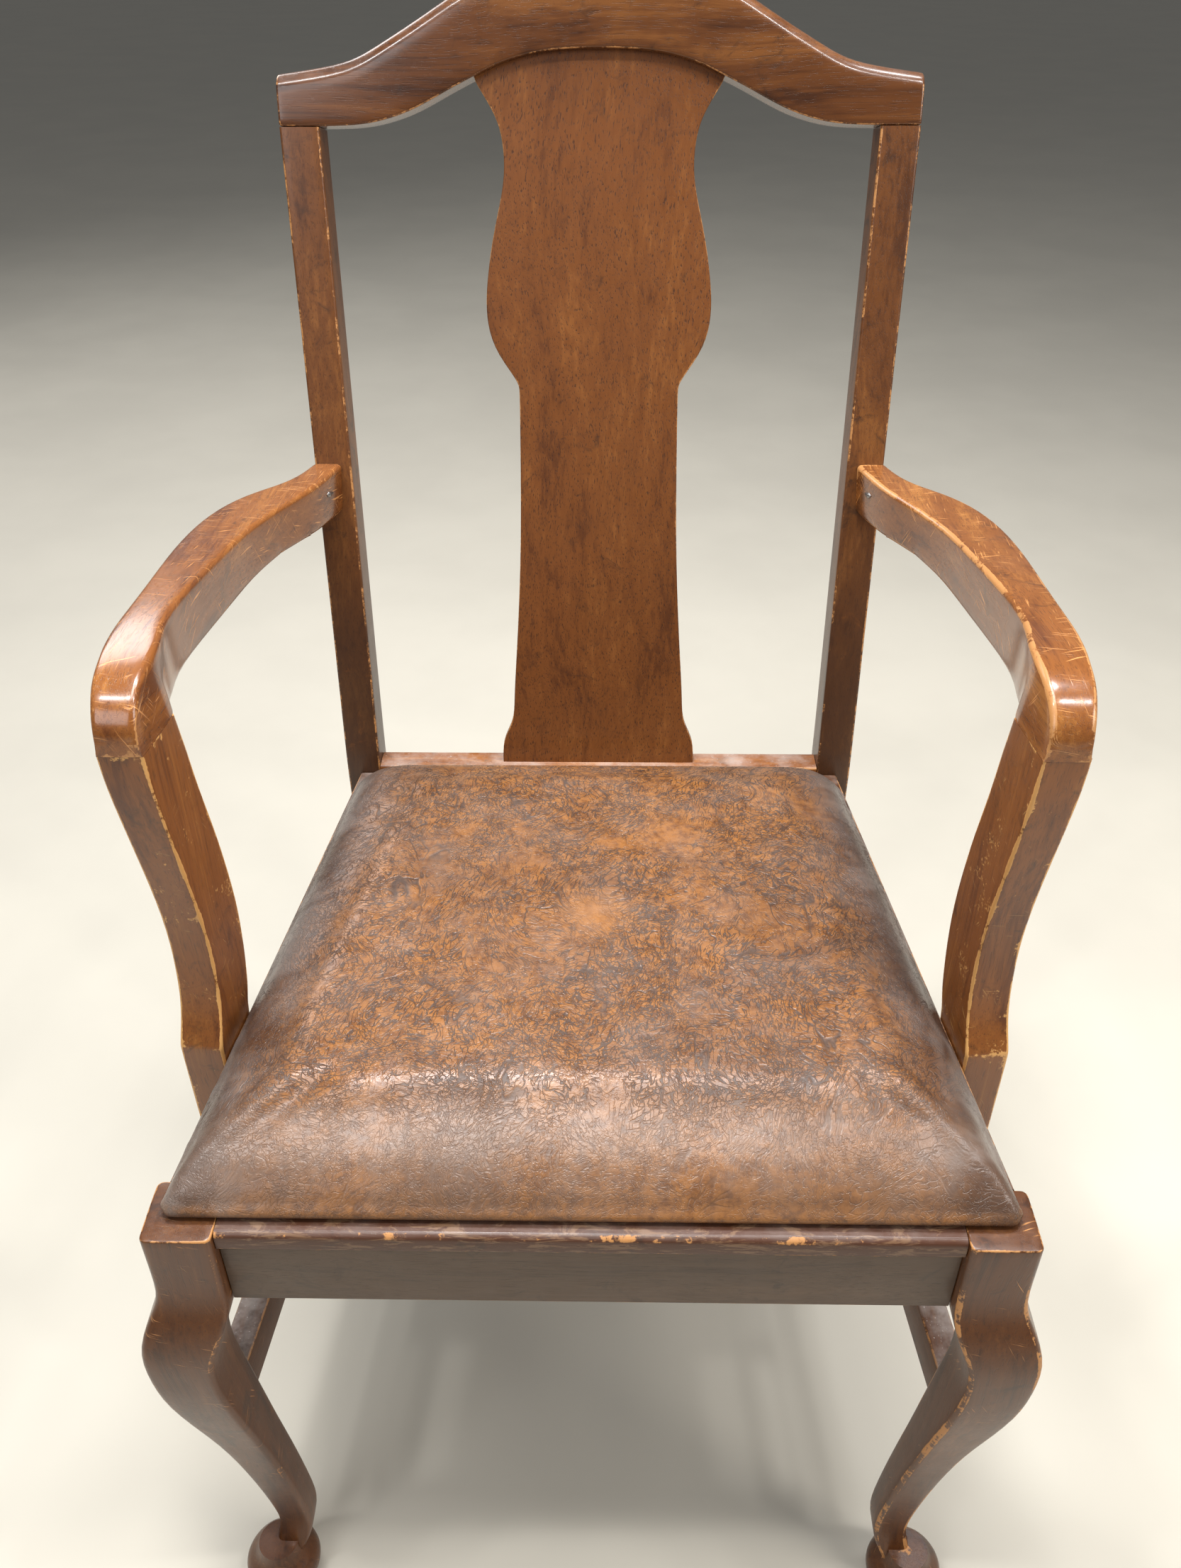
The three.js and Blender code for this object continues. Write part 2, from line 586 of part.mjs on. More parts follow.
// Plan outline of the arm: from the post's section it swells outward and sweeps in to the back.
function armPlanOutline(back) {
  const start = sideRailX(ARM_SETBACK) + GAP;
  const front = ARM_SETBACK - 4;
  const run = back - ARM_SETBACK;
  const along = (share) => ARM_SETBACK + run * share;
  const outer = start + ARM_POST_THICK + ARM_BULGE;
  const up = (ARM_TOP_Z - ARM_FALL - REAR_RAIL_TOP) / Math.cos(BACK_RAKE);
  const endInner = postCentreX(up) - ARM_END_WIDTH / 2 + 1;
  const inner = outer - ARM_WIDEST;
  const shape = new THREE.Shape();
  shape.moveTo(start + 0.5, front);
  shape.lineTo(start + ARM_POST_THICK + 0.5, front);
  spline(shape, [
    [outer - 7, along(0.1)], [outer - 4.5, along(0.25)], [outer, along(0.52)],
    [outer - 2, along(0.68)], [outer - 13, along(0.79)], [outer - 36, along(0.87)],
    [endInner + ARM_END_WIDTH, back],
  ]);
  shape.lineTo(endInner, back);
  spline(shape, [
    [endInner + 9, along(0.88)], [inner - 11, along(0.75)], [inner, along(0.6)],
    [inner + 4, along(0.45)], [outer - 4.5 - ARM_NARROW, along(0.25)],
    [start - 1, along(0.12)], [start + 0.5, front],
  ]);
  return shape;
}

function armEndY() {
  const up = (ARM_TOP_Z - ARM_FALL - ARM_THICK / 2 - REAR_RAIL_TOP) / Math.cos(BACK_RAKE);
  return { y: backPoint(0, up, 0).y, up };
}

// The arm's rear end is sawn to the lean of the rear post.
function arm() {
  const back = armEndY().y + 12;
  const profile = sideSlab(armSideOutline(ARM_SETBACK, back), 0, FRONT_WIDTH, 10);
  const blank = common(profile, planSlab(armPlanOutline(back), ARM_JOINT_Z - 2 * ARM_FALL - 10,
    ARM_THICK + 2 * ARM_FALL + 30, 5));
  const behindPost = leaned(box(0, FRONT_WIDTH, -GAP, 120, -60, BACK_LENGTH));
  return cut(blank, behindPost, ...armDowels(GAP), armScrew(GAP));
}

function armDowels(grow) {
  const length = DOWEL_LENGTH / 2 + 2 * grow;
  const x = ARM_POST_THICK / 2;
  return [12, ARM_POST_DEPTH - 14].map((y) => {
    const place = new THREE.Vector3(x, ARM_SETBACK + y, ARM_JOINT_Z - length / 2);
    return turnToRail(rod(DOWEL_RADIUS + grow - (grow ? 0 : 0.2), length, place, Z, 12));
  });
}

// One screw through the rear post holds the arm's end. Its head lies in a counterbore.
const ARM_SCREW_SINK = 4;
const ARM_SCREW_LENGTH = 56;

function armScrew(grow) {
  const { up } = armEndY();
  const start = backPoint(postCentreX(up), up, POST_DEPTH - ARM_SCREW_SINK);
  const forward = BACK_IN.clone().negate();
  const screw = screwShape(ARM_SCREW_LENGTH, grow, start, forward);
  if (!grow) return screw;
  const mouth = rod(SCREW_HEAD_RADIUS + grow, ARM_SCREW_SINK + 6, start, BACK_IN, 12);
  return join(screw, mouth);
}

// Two screws through the side rail hold the foot of the arm post.
function armPostScrews(grow) {
  const length = RAIL_THICK + 0.6 * ARM_POST_THICK;
  return [-16, -48].map((drop) => {
    const place = new THREE.Vector3(1 - RAIL_THICK, ARM_SETBACK + ARM_POST_DEPTH / 2, FRAME_TOP + drop);
    return turnToRail(screwShape(length, grow, place, X));
  });
}

// ---- stretchers ----------------------------------------------------------------------------
const STRETCHER_FRONT_X = LEG_CENTRE_X + 5;
const STRETCHER_REAR_X = REAR_HALF - POST_WIDTH / 2 + 1;
const STRETCHER_REAR_Y = SEAT_DEPTH + 10;

function stretcherX(y) {
  const share = (y - LEG_CENTRE_Y) / (STRETCHER_REAR_Y - LEG_CENTRE_Y);
  return STRETCHER_FRONT_X + (STRETCHER_REAR_X - STRETCHER_FRONT_X) * share;
}

// The right side stretcher. Both ends are housed in the legs.
function sideStretcher(grow) {
  const y0 = LEG_CENTRE_Y + 4 - grow;
  const y1 = STRETCHER_REAR_Y + HOUSING + grow;
  return bar([stretcherX(y0), y0, STRETCHER_TOP + grow], [stretcherX(y1), y1, STRETCHER_TOP + grow],
    STRETCHER_THICK + 2 * grow, STRETCHER_HEIGHT + 2 * grow);
}

function crossStretcher(grow) {
  const y = CROSS_STRETCHER_BACK;
  const end = stretcherX(y) - STRETCHER_THICK / 2 + 0.5 * HOUSING + grow;
  return box(-end, end, y - STRETCHER_THICK / 2 - grow, y + STRETCHER_THICK / 2 + grow,
    STRETCHER_TOP - STRETCHER_HEIGHT + 2 - grow, STRETCHER_TOP - 2 + grow);
}

// ---- corner blocks -------------------------------------------------------------------------
const BLOCK_TOP = FRAME_TOP - BLOCK_TOP_DROP;
const BLOCK_MID = BLOCK_TOP - BLOCK_HEIGHT / 2;
const RAIL_INNER_FRONT = RAIL_RECESS + RAIL_THICK;

function railInnerX(y) {
  return sideRailX(y) - RAIL_THICK - GAP;
}

function frontBlock() {
  const y0 = RAIL_INNER_FRONT + GAP;
  const leg = FRONT_HALF - LEG_BLOCK - GAP;
  const y1 = LEG_BLOCK + GAP;
  const plan = outline([
    [leg - BLOCK_REACH, y0], [leg, y0], [leg, y1], [railInnerX(y1), y1],
    [railInnerX(y1 + BLOCK_REACH), y1 + BLOCK_REACH], [leg - BLOCK_REACH, y0 + 12],
  ]);
  return cut(planSlab(plan, BLOCK_TOP - BLOCK_HEIGHT, BLOCK_HEIGHT),
    ...frontBlockScrews(GAP), seatScrew(frontSeatScrew(), GAP));
}

function rearBlock() {
  const y1 = SEAT_DEPTH - GAP;
  const y0 = y1 - BLOCK_REACH;
  const plan = outline([
    [railInnerX(y1), y1], [railInnerX(y1) - BLOCK_REACH, y1],
    [railInnerX(y1) - BLOCK_REACH, y1 - 12], [railInnerX(y0), y0],
  ]);
  return cut(planSlab(plan, BLOCK_TOP - BLOCK_HEIGHT, BLOCK_HEIGHT),
    ...rearBlockScrews(GAP), seatScrew(rearSeatScrew(), GAP));
}

const BLOCK_SCREW_LENGTH = 38;
const BLOCK_SCREW_IN_RAIL = 14;

// A screw that enters a rail square to its inner face.
function blockScrew(x, y, direction, grow) {
  const start = new THREE.Vector3(x, y, BLOCK_MID)
    .addScaledVector(direction, BLOCK_SCREW_IN_RAIL - BLOCK_SCREW_LENGTH);
  const screw = screwShape(BLOCK_SCREW_LENGTH, grow, start, direction);
  if (!grow) return screw;
  const mouth = rod(SCREW_HEAD_RADIUS + grow, BLOCK_REACH, start, direction.clone().negate(), 12);
  return join(screw, mouth);
}

const OUTWARD = new THREE.Vector3(Math.cos(SLANT_ANGLE), Math.sin(SLANT_ANGLE), 0);
const FORWARD = new THREE.Vector3(0, -1, 0);

function frontBlockScrews(grow) {
  const y = LEG_BLOCK + 0.62 * BLOCK_REACH;
  const x = FRONT_HALF - LEG_BLOCK - 0.72 * BLOCK_REACH;
  return [blockScrew(x, RAIL_INNER_FRONT, FORWARD, grow), blockScrew(railInnerX(y), y, OUTWARD, grow)];
}

function rearBlockScrews(grow) {
  const y = SEAT_DEPTH - 0.68 * BLOCK_REACH;
  const x = railInnerX(SEAT_DEPTH) - 0.62 * BLOCK_REACH;
  const backward = new THREE.Vector3(0, 1, 0);
  return [blockScrew(x, SEAT_DEPTH, backward, grow), blockScrew(railInnerX(y), y, OUTWARD, grow)];
}

// ---- slip seat -----------------------------------------------------------------------------
const SEAT_BOTTOM = FRAME_TOP + GAP;
const COVER_BOTTOM = SEAT_BOTTOM + DUST_CLOTH_THICK + GAP;
const BOARD_BOTTOM = COVER_BOTTOM + COVER_THICK + GAP;
const BOARD_TOP = BOARD_BOTTOM + BOARD_THICK;
const SEAT_TOP = FRAME_TOP + SEAT_CROWN;

// Plan of the seat, drawn in by a margin.
function seatPlan(margin) {
  const front = SEAT_FRONT_SETBACK + margin;
  const back = SEAT_DEPTH - SEAT_REAR_GAP - margin;
  const x = (y) => sideRailX(y) - SEAT_OVERHANG - margin;
  return outline([[-x(front), front], [x(front), front], [x(back), back], [-x(back), back]]);
}

// A crowned body: a rounded edge rises from its foot to the top.
function crowned(margin, foot, top) {
  const rise = top - foot - 8;
  const shape = seatPlan(margin);
  const roll = SEAT_ROLL - margin;
  const geometry = new THREE.ExtrudeGeometry(shape, {
    depth: 16, bevelEnabled: true, bevelThickness: rise, bevelSize: roll, bevelOffset: -roll,
    bevelSegments: 5,
  });
  geometry.translate(0, 0, foot - 8);
  return cut(geometry, box(-FRONT_WIDTH, FRONT_WIDTH, -100, SEAT_DEPTH + 100, foot - 200, foot));
}

function seatScrewHoles() {
  const right = [frontSeatScrew(), rearSeatScrew()].map((place) => seatScrew(place, GAP));
  return [...right, ...right.map(mirrored)];
}

function seatBoard() {
  const plank = planSlab(seatPlan(COVER_THICK + GAP), BOARD_BOTTOM, BOARD_THICK);
  return cut(plank, ...seatScrewHoles());
}

function seatPadding() {
  const margin = COVER_THICK + GAP;
  return crowned(margin, BOARD_TOP + GAP, SEAT_TOP - COVER_THICK - GAP);
}

function seatCover() {
  const shell = join(planSlab(seatPlan(0), COVER_BOTTOM, BOARD_TOP - COVER_BOTTOM + 2 * GAP),
    crowned(0, BOARD_TOP, SEAT_TOP));
  const floor = COVER_BOTTOM + COVER_THICK;
  const room = join(planSlab(seatPlan(COVER_THICK), floor, BOARD_TOP - floor + 2 * GAP),
    crowned(COVER_THICK, BOARD_TOP, SEAT_TOP - COVER_THICK));
  const mouth = planSlab(seatPlan(COVER_TURN_IN), COVER_BOTTOM - 5, 10);
  return cut(shell, room, mouth, ...seatScrewHoles());
}

function dustCloth() {
  return cut(planSlab(seatPlan(9), SEAT_BOTTOM, DUST_CLOTH_THICK), ...seatScrewHoles());
}

// Four screws rise through the corner blocks into the seat board.
function frontSeatScrew() {
  return new THREE.Vector3(FRONT_HALF - LEG_BLOCK - 0.3 * BLOCK_REACH, LEG_BLOCK + 0.2 * BLOCK_REACH, 0);
}

function rearSeatScrew() {
  const y = SEAT_DEPTH - 0.27 * BLOCK_REACH;
  return new THREE.Vector3(railInnerX(y) - 0.27 * BLOCK_REACH, y, 0);
}

function seatScrew(place, grow) {
  const bottom = BLOCK_TOP - BLOCK_HEIGHT;
  const length = BOARD_TOP - 3 - bottom;
  const start = new THREE.Vector3(place.x, place.y, bottom);
  return screwShape(length, grow, start, Z);
}

// ---- glides --------------------------------------------------------------------------------
function frontFoot() {
  return new THREE.Vector3(LEG_CENTRE_X - 1, LEG_CENTRE_Y + 1, 0);
}

function rearFoot() {
  return new THREE.Vector3(REAR_HALF - POST_WIDTH / 2 + 1,
    SEAT_DEPTH + REAR_FOOT_BACK + REAR_FOOT_DEPTH / 2, 0);
}

function glidePin(place, grow) {
  return rod(GLIDE_PIN_RADIUS + grow, GLIDE_THICK + GLIDE_PIN_LENGTH + grow, place, Z, 10);
}

function glide() {
  const profile = [
    [0, 0], [GLIDE_RADIUS - 1, 0], [GLIDE_RADIUS, 1], [GLIDE_RADIUS, GLIDE_THICK - GAP],
    [GLIDE_PIN_RADIUS, GLIDE_THICK - GAP], [GLIDE_PIN_RADIUS, GLIDE_THICK + GLIDE_PIN_LENGTH],
    [0, GLIDE_THICK + GLIDE_PIN_LENGTH],
  ];
  return turned(profile, new THREE.Vector3(), Z, 20);
}

// ---- assembly ------------------------------------------------------------------------------
const frame = group();
pair(frame, 'front_leg', frontLeg(), WOOD);
pair(frame, 'rear_post', rearPost(), WOOD);
piece(frame, 'front_seat_rail', cut(frontRail(), ...frontBlockScrews(GAP),
  ...frontBlockScrews(GAP).map(mirrored)), WOOD);
piece(frame, 'rear_seat_rail', cut(rearRail(), ...rearBlockScrews(GAP),
  ...rearBlockScrews(GAP).map(mirrored)), WOOD);
pair(frame, 'side_seat_rail', cut(sideRail(), ...armPostScrews(GAP), ...frontBlockScrews(GAP),
  ...rearBlockScrews(GAP)), WOOD);
pair(frame, 'side_stretcher', cut(sideStretcher(0), crossStretcher(GAP)), WOOD);
piece(frame, 'cross_stretcher', crossStretcher(0), WOOD);
pair(frame, 'front_corner_block', frontBlock(), PLAIN_WOOD);
pair(frame, 'rear_corner_block', rearBlock(), PLAIN_WOOD);

const back = group();
piece(back, 'crest_rail', crestRail(), WOOD);
piece(back, 'back_splat', splat(0), SPLAT_WOOD);
crestDowels(0).forEach((dowel, i) => pair(back, `crest_dowel_${i + 1}`, dowel, PLAIN_WOOD));

const arms = group();
pair(arms, 'arm', arm(), WOOD);
pair(arms, 'arm_post', armPost(), WOOD);
armDowels(0).forEach((dowel, i) => pair(arms, `arm_dowel_${i + 1}`, dowel, PLAIN_WOOD));
armPostScrews(0).forEach((screw, i) => pair(arms, `arm_post_screw_${i + 1}`, screw, STEEL));
pair(arms, 'arm_screw', armScrew(0), STEEL);

const seat = group();
piece(seat, 'seat_board', seatBoard(), PLAIN_WOOD);
piece(seat, 'seat_padding', seatPadding(), STUFFING);
piece(seat, 'seat_cover', seatCover(), VINYL);
piece(seat, 'seat_dust_cloth', dustCloth(), CLOTH);
pair(seat, 'seat_screw_front', seatScrew(frontSeatScrew(), 0), STEEL);
pair(seat, 'seat_screw_rear', seatScrew(rearSeatScrew(), 0), STEEL);

const fixings = group();
[...frontBlockScrews(0), ...rearBlockScrews(0)].forEach((screw, i) => {
  pair(fixings, `block_screw_${i + 1}`, screw, STEEL);
});
for (const [name, foot] of [['front', frontFoot()], ['rear', rearFoot()]]) {
  for (const side of [1, -1]) {
    const mesh = piece(fixings, `${name}_glide_${side > 0 ? 'right' : 'left'}`, glide(), STEEL);
    mesh.position.set(side * foot.x, foot.y, 0);
  }
}

// The origin goes on the floor under the middle of the chair's box.
const extent = new THREE.Box3().setFromObject(chair);
chair.position.y = -(extent.min.y + extent.max.y) / 2;

export default chair;
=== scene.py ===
import math

import bmesh
import bpy
from mathutils import Matrix, Vector


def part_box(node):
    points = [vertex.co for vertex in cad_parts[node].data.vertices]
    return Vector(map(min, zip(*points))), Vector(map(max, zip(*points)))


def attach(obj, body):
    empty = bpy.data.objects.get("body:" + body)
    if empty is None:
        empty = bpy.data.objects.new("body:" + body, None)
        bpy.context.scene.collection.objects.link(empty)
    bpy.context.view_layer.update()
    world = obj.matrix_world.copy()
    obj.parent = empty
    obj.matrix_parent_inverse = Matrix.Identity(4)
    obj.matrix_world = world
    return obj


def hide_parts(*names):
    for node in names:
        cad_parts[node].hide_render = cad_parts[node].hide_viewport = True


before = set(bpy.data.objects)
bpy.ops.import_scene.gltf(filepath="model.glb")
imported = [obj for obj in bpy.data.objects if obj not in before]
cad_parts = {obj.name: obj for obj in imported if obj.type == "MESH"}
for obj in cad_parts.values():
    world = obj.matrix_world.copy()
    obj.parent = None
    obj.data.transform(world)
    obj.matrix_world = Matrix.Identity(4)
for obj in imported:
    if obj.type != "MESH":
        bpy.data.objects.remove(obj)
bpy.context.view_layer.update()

# ---- datums taken from the chair's own pieces, in metres ---------------------------------------
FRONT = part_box("front_seat_rail")[0].y - 0.005  # front faces of the front legs
RAIL_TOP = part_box("side_seat_rail_right")[1].z
RAIL_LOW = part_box("side_seat_rail_right")[0].z
REAR_RAIL_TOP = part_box("rear_seat_rail")[1].z
POST_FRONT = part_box("rear_seat_rail")[0].y  # front face of the rear posts at the seat
ARM_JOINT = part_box("arm_post_right")[1].z
HALF_FRONT = 0.252  # to the outer face of a front leg's block
HALF_REAR = 0.211  # to the outer face of a rear post at the seat
HALF_RAILS = 0.245  # to the outer face of a side rail where it meets the front leg
SEAT_DEPTH = 0.452  # from the front of the legs to the rear posts
BLOCK = 0.041  # square block of a front leg
POST_WIDTH = 0.028
POST_DEPTH = 0.030
RAIL_THICK = 0.022
RAKE = math.radians(13.3)  # backward lean of the back
BACK_LENGTH = 0.479  # rear rail's top to the crest joint, along the lean
SLANT = math.atan(0.10949)  # side rails run in toward the back
SEAM = 0.0003  # glue line between two pieces
ARM_POST_SETBACK = 0.132  # from the front of the legs to the arm posts
SEAT_TAPER = 0.1108  # how fast the slip seat's half width shrinks toward the back
STOCK_TURN = {"X": (0, math.pi / 2, 0), "Y": (math.pi / 2, 0, 0), "Z": (0, 0, 0)}


def side_rail_x(back):
    """Outer face of a side rail at a distance behind the front of the legs."""
    return HALF_RAILS - math.tan(SLANT) * (back - BLOCK)


# ---- bench tools -------------------------------------------------------------------------------
def clear_bench():
    """Leaves nothing selected."""
    bpy.ops.object.select_all(action="DESELECT")


def edit_mesh():
    """The mesh being edited, with its normals up to date."""
    mesh = bmesh.from_edit_mesh(bpy.context.object.data)
    mesh.normal_update()
    return mesh


def pick(kind, test):
    """In edit mode, selects the vertices, edges or faces that pass a test, and nothing else."""
    bpy.ops.mesh.select_mode(type=kind)
    bpy.ops.mesh.select_all(action="DESELECT")
    mesh = edit_mesh()
    for part in {"VERT": mesh.verts, "EDGE": mesh.edges, "FACE": mesh.faces}[kind]:
        part.select_set(bool(test(part)))
    mesh.select_flush_mode()
    bmesh.update_edit_mesh(bpy.context.object.data)


def middle(edge):
    """Middle point of an edge."""
    return (edge.verts[0].co + edge.verts[1].co) / 2


def run(edge):
    """Unit vector along an edge."""
    return (edge.verts[1].co - edge.verts[0].co).normalized()


def soften(width, segments=4, test=lambda edge: True, least=30):
    """Rounds over the arrises that pass the test and bend by at least so many degrees."""
    pick("EDGE", lambda e: len(e.link_faces) == 2 and e.calc_face_angle(0) > math.radians(least)
         and test(e))
    bpy.ops.mesh.bevel(offset=width, segments=segments, affect="EDGES", clamp_overlap=True)


def note_arrises(piece, tight):
    """Notes on each vertex how sharply the surface bends outward: 1 at a radius of tight.

    The varnish reads this note, to be worn through along the arrises.
    """
    mesh = bmesh.new()
    mesh.from_mesh(piece.data)
    arris = mesh.verts.layers.float.get("arris") or mesh.verts.layers.float.new("arris")
    for vertex in mesh.verts:
        bends = [0.0]
        for edge in vertex.link_edges:
            length = edge.calc_length()
            if len(edge.link_faces) == 2 and edge.is_convex and length > 1e-6:
                width = sum(face.calc_area() for face in edge.link_faces) / 2 / length
                bends.append(edge.calc_face_angle(0) / max(width, 1e-5))
        vertex[arris] = min(1.0, max(bends) * tight)
    mesh.to_mesh(piece.data)
    mesh.free()


def open_up():
    """Starts to edit a new primitive, with its mesh in the chair's own coordinates."""
    bpy.ops.object.transform_apply(location=True, rotation=True, scale=True)
    bpy.ops.object.mode_set(mode="EDIT")


def draw_stock(axis, sections):
    """Starts from a flat end and draws it out through sections of (middle, size, size)."""
    across = {"X": (1, 2), "Y": (0, 2), "Z": (0, 1)}[axis]

    def sizes(section):
        value = [1.0, 1.0, 1.0]
        value[across[0]], value[across[1]] = section[1:3]
        return value

    clear_bench()
    last = sections[0]
    bpy.ops.mesh.primitive_plane_add(size=1, location=last[0], rotation=STOCK_TURN[axis])
    open_up()
    bpy.ops.transform.resize(value=sizes(last), center_override=last[0])
    for section in sections[1:]:
        step = Vector(section[0]) - Vector(last[0])
        grow = [new / old for new, old in zip(sizes(section), sizes(last))]
        bpy.ops.mesh.extrude_region_move(TRANSFORM_OT_translate={"value": step})
        bpy.ops.transform.resize(value=grow, center_override=section[0])
        last = section


def true_up():
    """Makes every face of the stock point outward."""
    bpy.ops.mesh.select_all(action="SELECT")
    bpy.ops.mesh.remove_doubles(threshold=1e-6)
    bpy.ops.mesh.normals_make_consistent(inside=False)


def turn(angle, axis, centre):
    """Turns the whole piece by the right-hand rule."""
    bpy.ops.mesh.select_all(action="SELECT")
    bpy.ops.transform.rotate(value=-angle, orient_axis=axis, center_override=centre)


def lean():
    """Leans what was modelled upright on the rear rail."""
    turn(-RAKE, "X", (0, POST_FRONT, REAR_RAIL_TOP))


def saw(place, normal):
    """Saws off what lies beyond a plane and closes the cut."""
    bpy.ops.mesh.select_all(action="SELECT")
    bpy.ops.mesh.bisect(plane_co=place, plane_no=normal, use_fill=True, clear_outer=True)


def release(name, subdivide=0, tight=0.0020):
    """Leaves edit mode, finishes the surface and names the piece.

    Arrises left sharp stay sharp, and tight is the radius that counts as an arris.
    """
    if subdivide:
        pick("EDGE", lambda e: e.calc_face_angle(0) > math.radians(42))
        bpy.ops.transform.edge_crease(value=1)
    bpy.ops.mesh.select_all(action="SELECT")
    bpy.ops.mesh.normals_make_consistent(inside=False)
    bpy.ops.object.mode_set(mode="OBJECT")
    piece = bpy.context.object
    piece.name = piece.data.name = name
    if subdivide:
        modifier = piece.modifiers.new("surface", "SUBSURF")
        modifier.levels = modifier.render_levels = subdivide
        bpy.ops.object.modifier_apply(modifier=modifier.name)
    note_arrises(piece, tight)
    bpy.ops.object.shade_smooth_by_angle(angle=math.radians(32))
    return piece


def hand_over(piece, finish, slot, *nodes):
    """Hangs a finished piece on the frame in place of its plain solid."""
    piece.data.materials.clear()
    piece.data.materials.append(finish)
    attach(piece, "root")
    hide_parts(*nodes)
    return piece


def other_hand(piece, name):
    """The same piece for the left side, with a mesh of its own."""
    clear_bench()
    piece.select_set(True)
    bpy.context.view_layer.objects.active = piece
    bpy.ops.object.duplicate()
    bpy.ops.object.mode_set(mode="EDIT")
    bpy.ops.mesh.select_all(action="SELECT")
    bpy.ops.transform.resize(value=(-1, 1, 1), center_override=(0, 0, 0))
    return release(name)


def pair(piece, finish, node, finish_left=None):
    """Hands over a right-hand piece and makes and hands over its left-hand twin."""
    left = other_hand(piece, piece.name.replace("_right", "_left"))
    hand_over(piece, finish, "frame_wood", node + "_right")
    hand_over(left, finish_left or finish, "frame_wood", node + "_left")


# ---- the wooden pieces -------------------------------------------------------------------------
def front_leg():
    """Cabriole leg: square block, knee, ankle and a round pad foot."""
    x, y = HALF_FRONT - BLOCK / 2, FRONT + BLOCK / 2
    # height, how far the section stands outward, half its width
    stations = [
        (0.4370, 0.0000, 0.0205), (0.4050, 0.0000, 0.0205), (0.3850, 0.0003, 0.0205),
        (0.3750, 0.0014, 0.0218), (0.3680, 0.0032, 0.0233), (0.3560, 0.0080, 0.0240),
        (0.3420, 0.0130, 0.0222), (0.3240, 0.0148, 0.0206), (0.3020, 0.0140, 0.0203),
        (0.2800, 0.0118, 0.0200), (0.2500, 0.0080, 0.0184), (0.2200, 0.0038, 0.0165),
        (0.1900, 0.0000, 0.0149), (0.1500, -0.0046, 0.0138), (0.1100, -0.0084, 0.0129),
        (0.0800, -0.0108, 0.0124), (0.0600, -0.0117, 0.0121), (0.0460, -0.0098, 0.0121),
        (0.0360, -0.0060, 0.0117), (0.0280, -0.0028, 0.0110),
    ]
    draw_stock("Z", [((x + out, y - out, z), 2 * half, 2 * half) for z, out, half in stations])
    true_up()
    soften(0.0045, 4, lambda e: abs(run(e).z) > 0.3)
    soften(0.0016, 3, lambda e: middle(e).z > RAIL_TOP - 0.001, least=60)
    leg = release("leg_right", 1)
    outward = 0.0034
    return glue_up(leg, pad_foot(x + outward, y - outward))


def pad_foot(x, y):
    """A round pad under the ankle, turned from its profile."""
    clear_bench()
    # radius, height
    rings = [(0.0200, 0.0030), (0.0242, 0.0042), (0.0266, 0.0078), (0.0274, 0.0122),
             (0.0268, 0.0168), (0.0250, 0.0208), (0.0224, 0.0240), (0.0196, 0.0268),
             (0.0174, 0.0302), (0.0158, 0.0345), (0.0146, 0.0400)]
    bpy.ops.mesh.primitive_circle_add(vertices=48, radius=rings[0][0], fill_type="NGON",
                                      location=(x, y, rings[0][1]))
    open_up()
    for old, new in zip(rings, rings[1:]):
        bpy.ops.mesh.extrude_region_move(TRANSFORM_OT_translate={"value": (0, 0, new[1] - old[1])})
        grow = new[0] / old[0]
        bpy.ops.transform.resize(value=(grow, grow, 1), center_override=(x, y, new[1]))
    return release("pad_foot")


def glue_up(first, second):
    """Makes one solid of two."""
    modifier = first.modifiers.new("joint", "BOOLEAN")
    modifier.operation, modifier.solver, modifier.object = "UNION", "EXACT", second
    clear_bench()
    bpy.context.view_layer.objects.active = first
    first.select_set(True)
    bpy.ops.object.modifier_apply(modifier=modifier.name)
    bpy.data.objects.remove(second)
    note_arrises(first, 0.0035)
    bpy.ops.object.shade_smooth_by_angle(angle=math.radians(40))
    return first


def rear_post():
    """Swept back below the seat, straight and leaning above it."""
    # height, front face and back face behind the front of the legs
    stations = [
        (0.0030, 0.5020, 0.5270), (0.0500, 0.4906, 0.5163), (0.0940, 0.4809, 0.5077),
        (0.1400, 0.4725, 0.5000), (0.1850, 0.4655, 0.4938), (0.2770, 0.4559, 0.4852),
        (0.3690, 0.4520, 0.4820), (0.4200, 0.4520, 0.4824), (0.4440, 0.4522, 0.4845),
    ]
    sections = []
    for z, near, far in stations:
        thin = 0.001 * max(0.0, 1 - z / 0.37)  # each side tapers by 1 mm to the floor
        sections.append(((HALF_REAR - POST_WIDTH / 2 + thin, FRONT + (near + far) / 2, z),
                         POST_WIDTH - 2 * thin, far - near))
    depth = POST_DEPTH / math.cos(RAKE)
    spread = 0.012  # the posts stand further apart at the top
    for share in (0.06, 0.3, 0.55, 0.8, 1.02):
        rise = share * BACK_LENGTH * math.cos(RAKE)
        sections.append(((HALF_REAR - POST_WIDTH / 2 + spread * share,
                          POST_FRONT + rise * math.tan(RAKE) + depth / 2, REAR_RAIL_TOP + rise),
                         POST_WIDTH, depth))
    draw_stock("Z", sections)
    true_up()
    joint = BACK_LENGTH - SEAM
    saw((0, POST_FRONT + joint * math.sin(RAKE), REAR_RAIL_TOP + joint * math.cos(RAKE)),
        (0, math.sin(RAKE), math.cos(RAKE)))
    soften(0.0022, 4, lambda e: abs(run(e).z) > 0.3)
    soften(0.0008, 2, lambda e: middle(e).z < 0.01, least=60)
    return release("stile_right", 1)


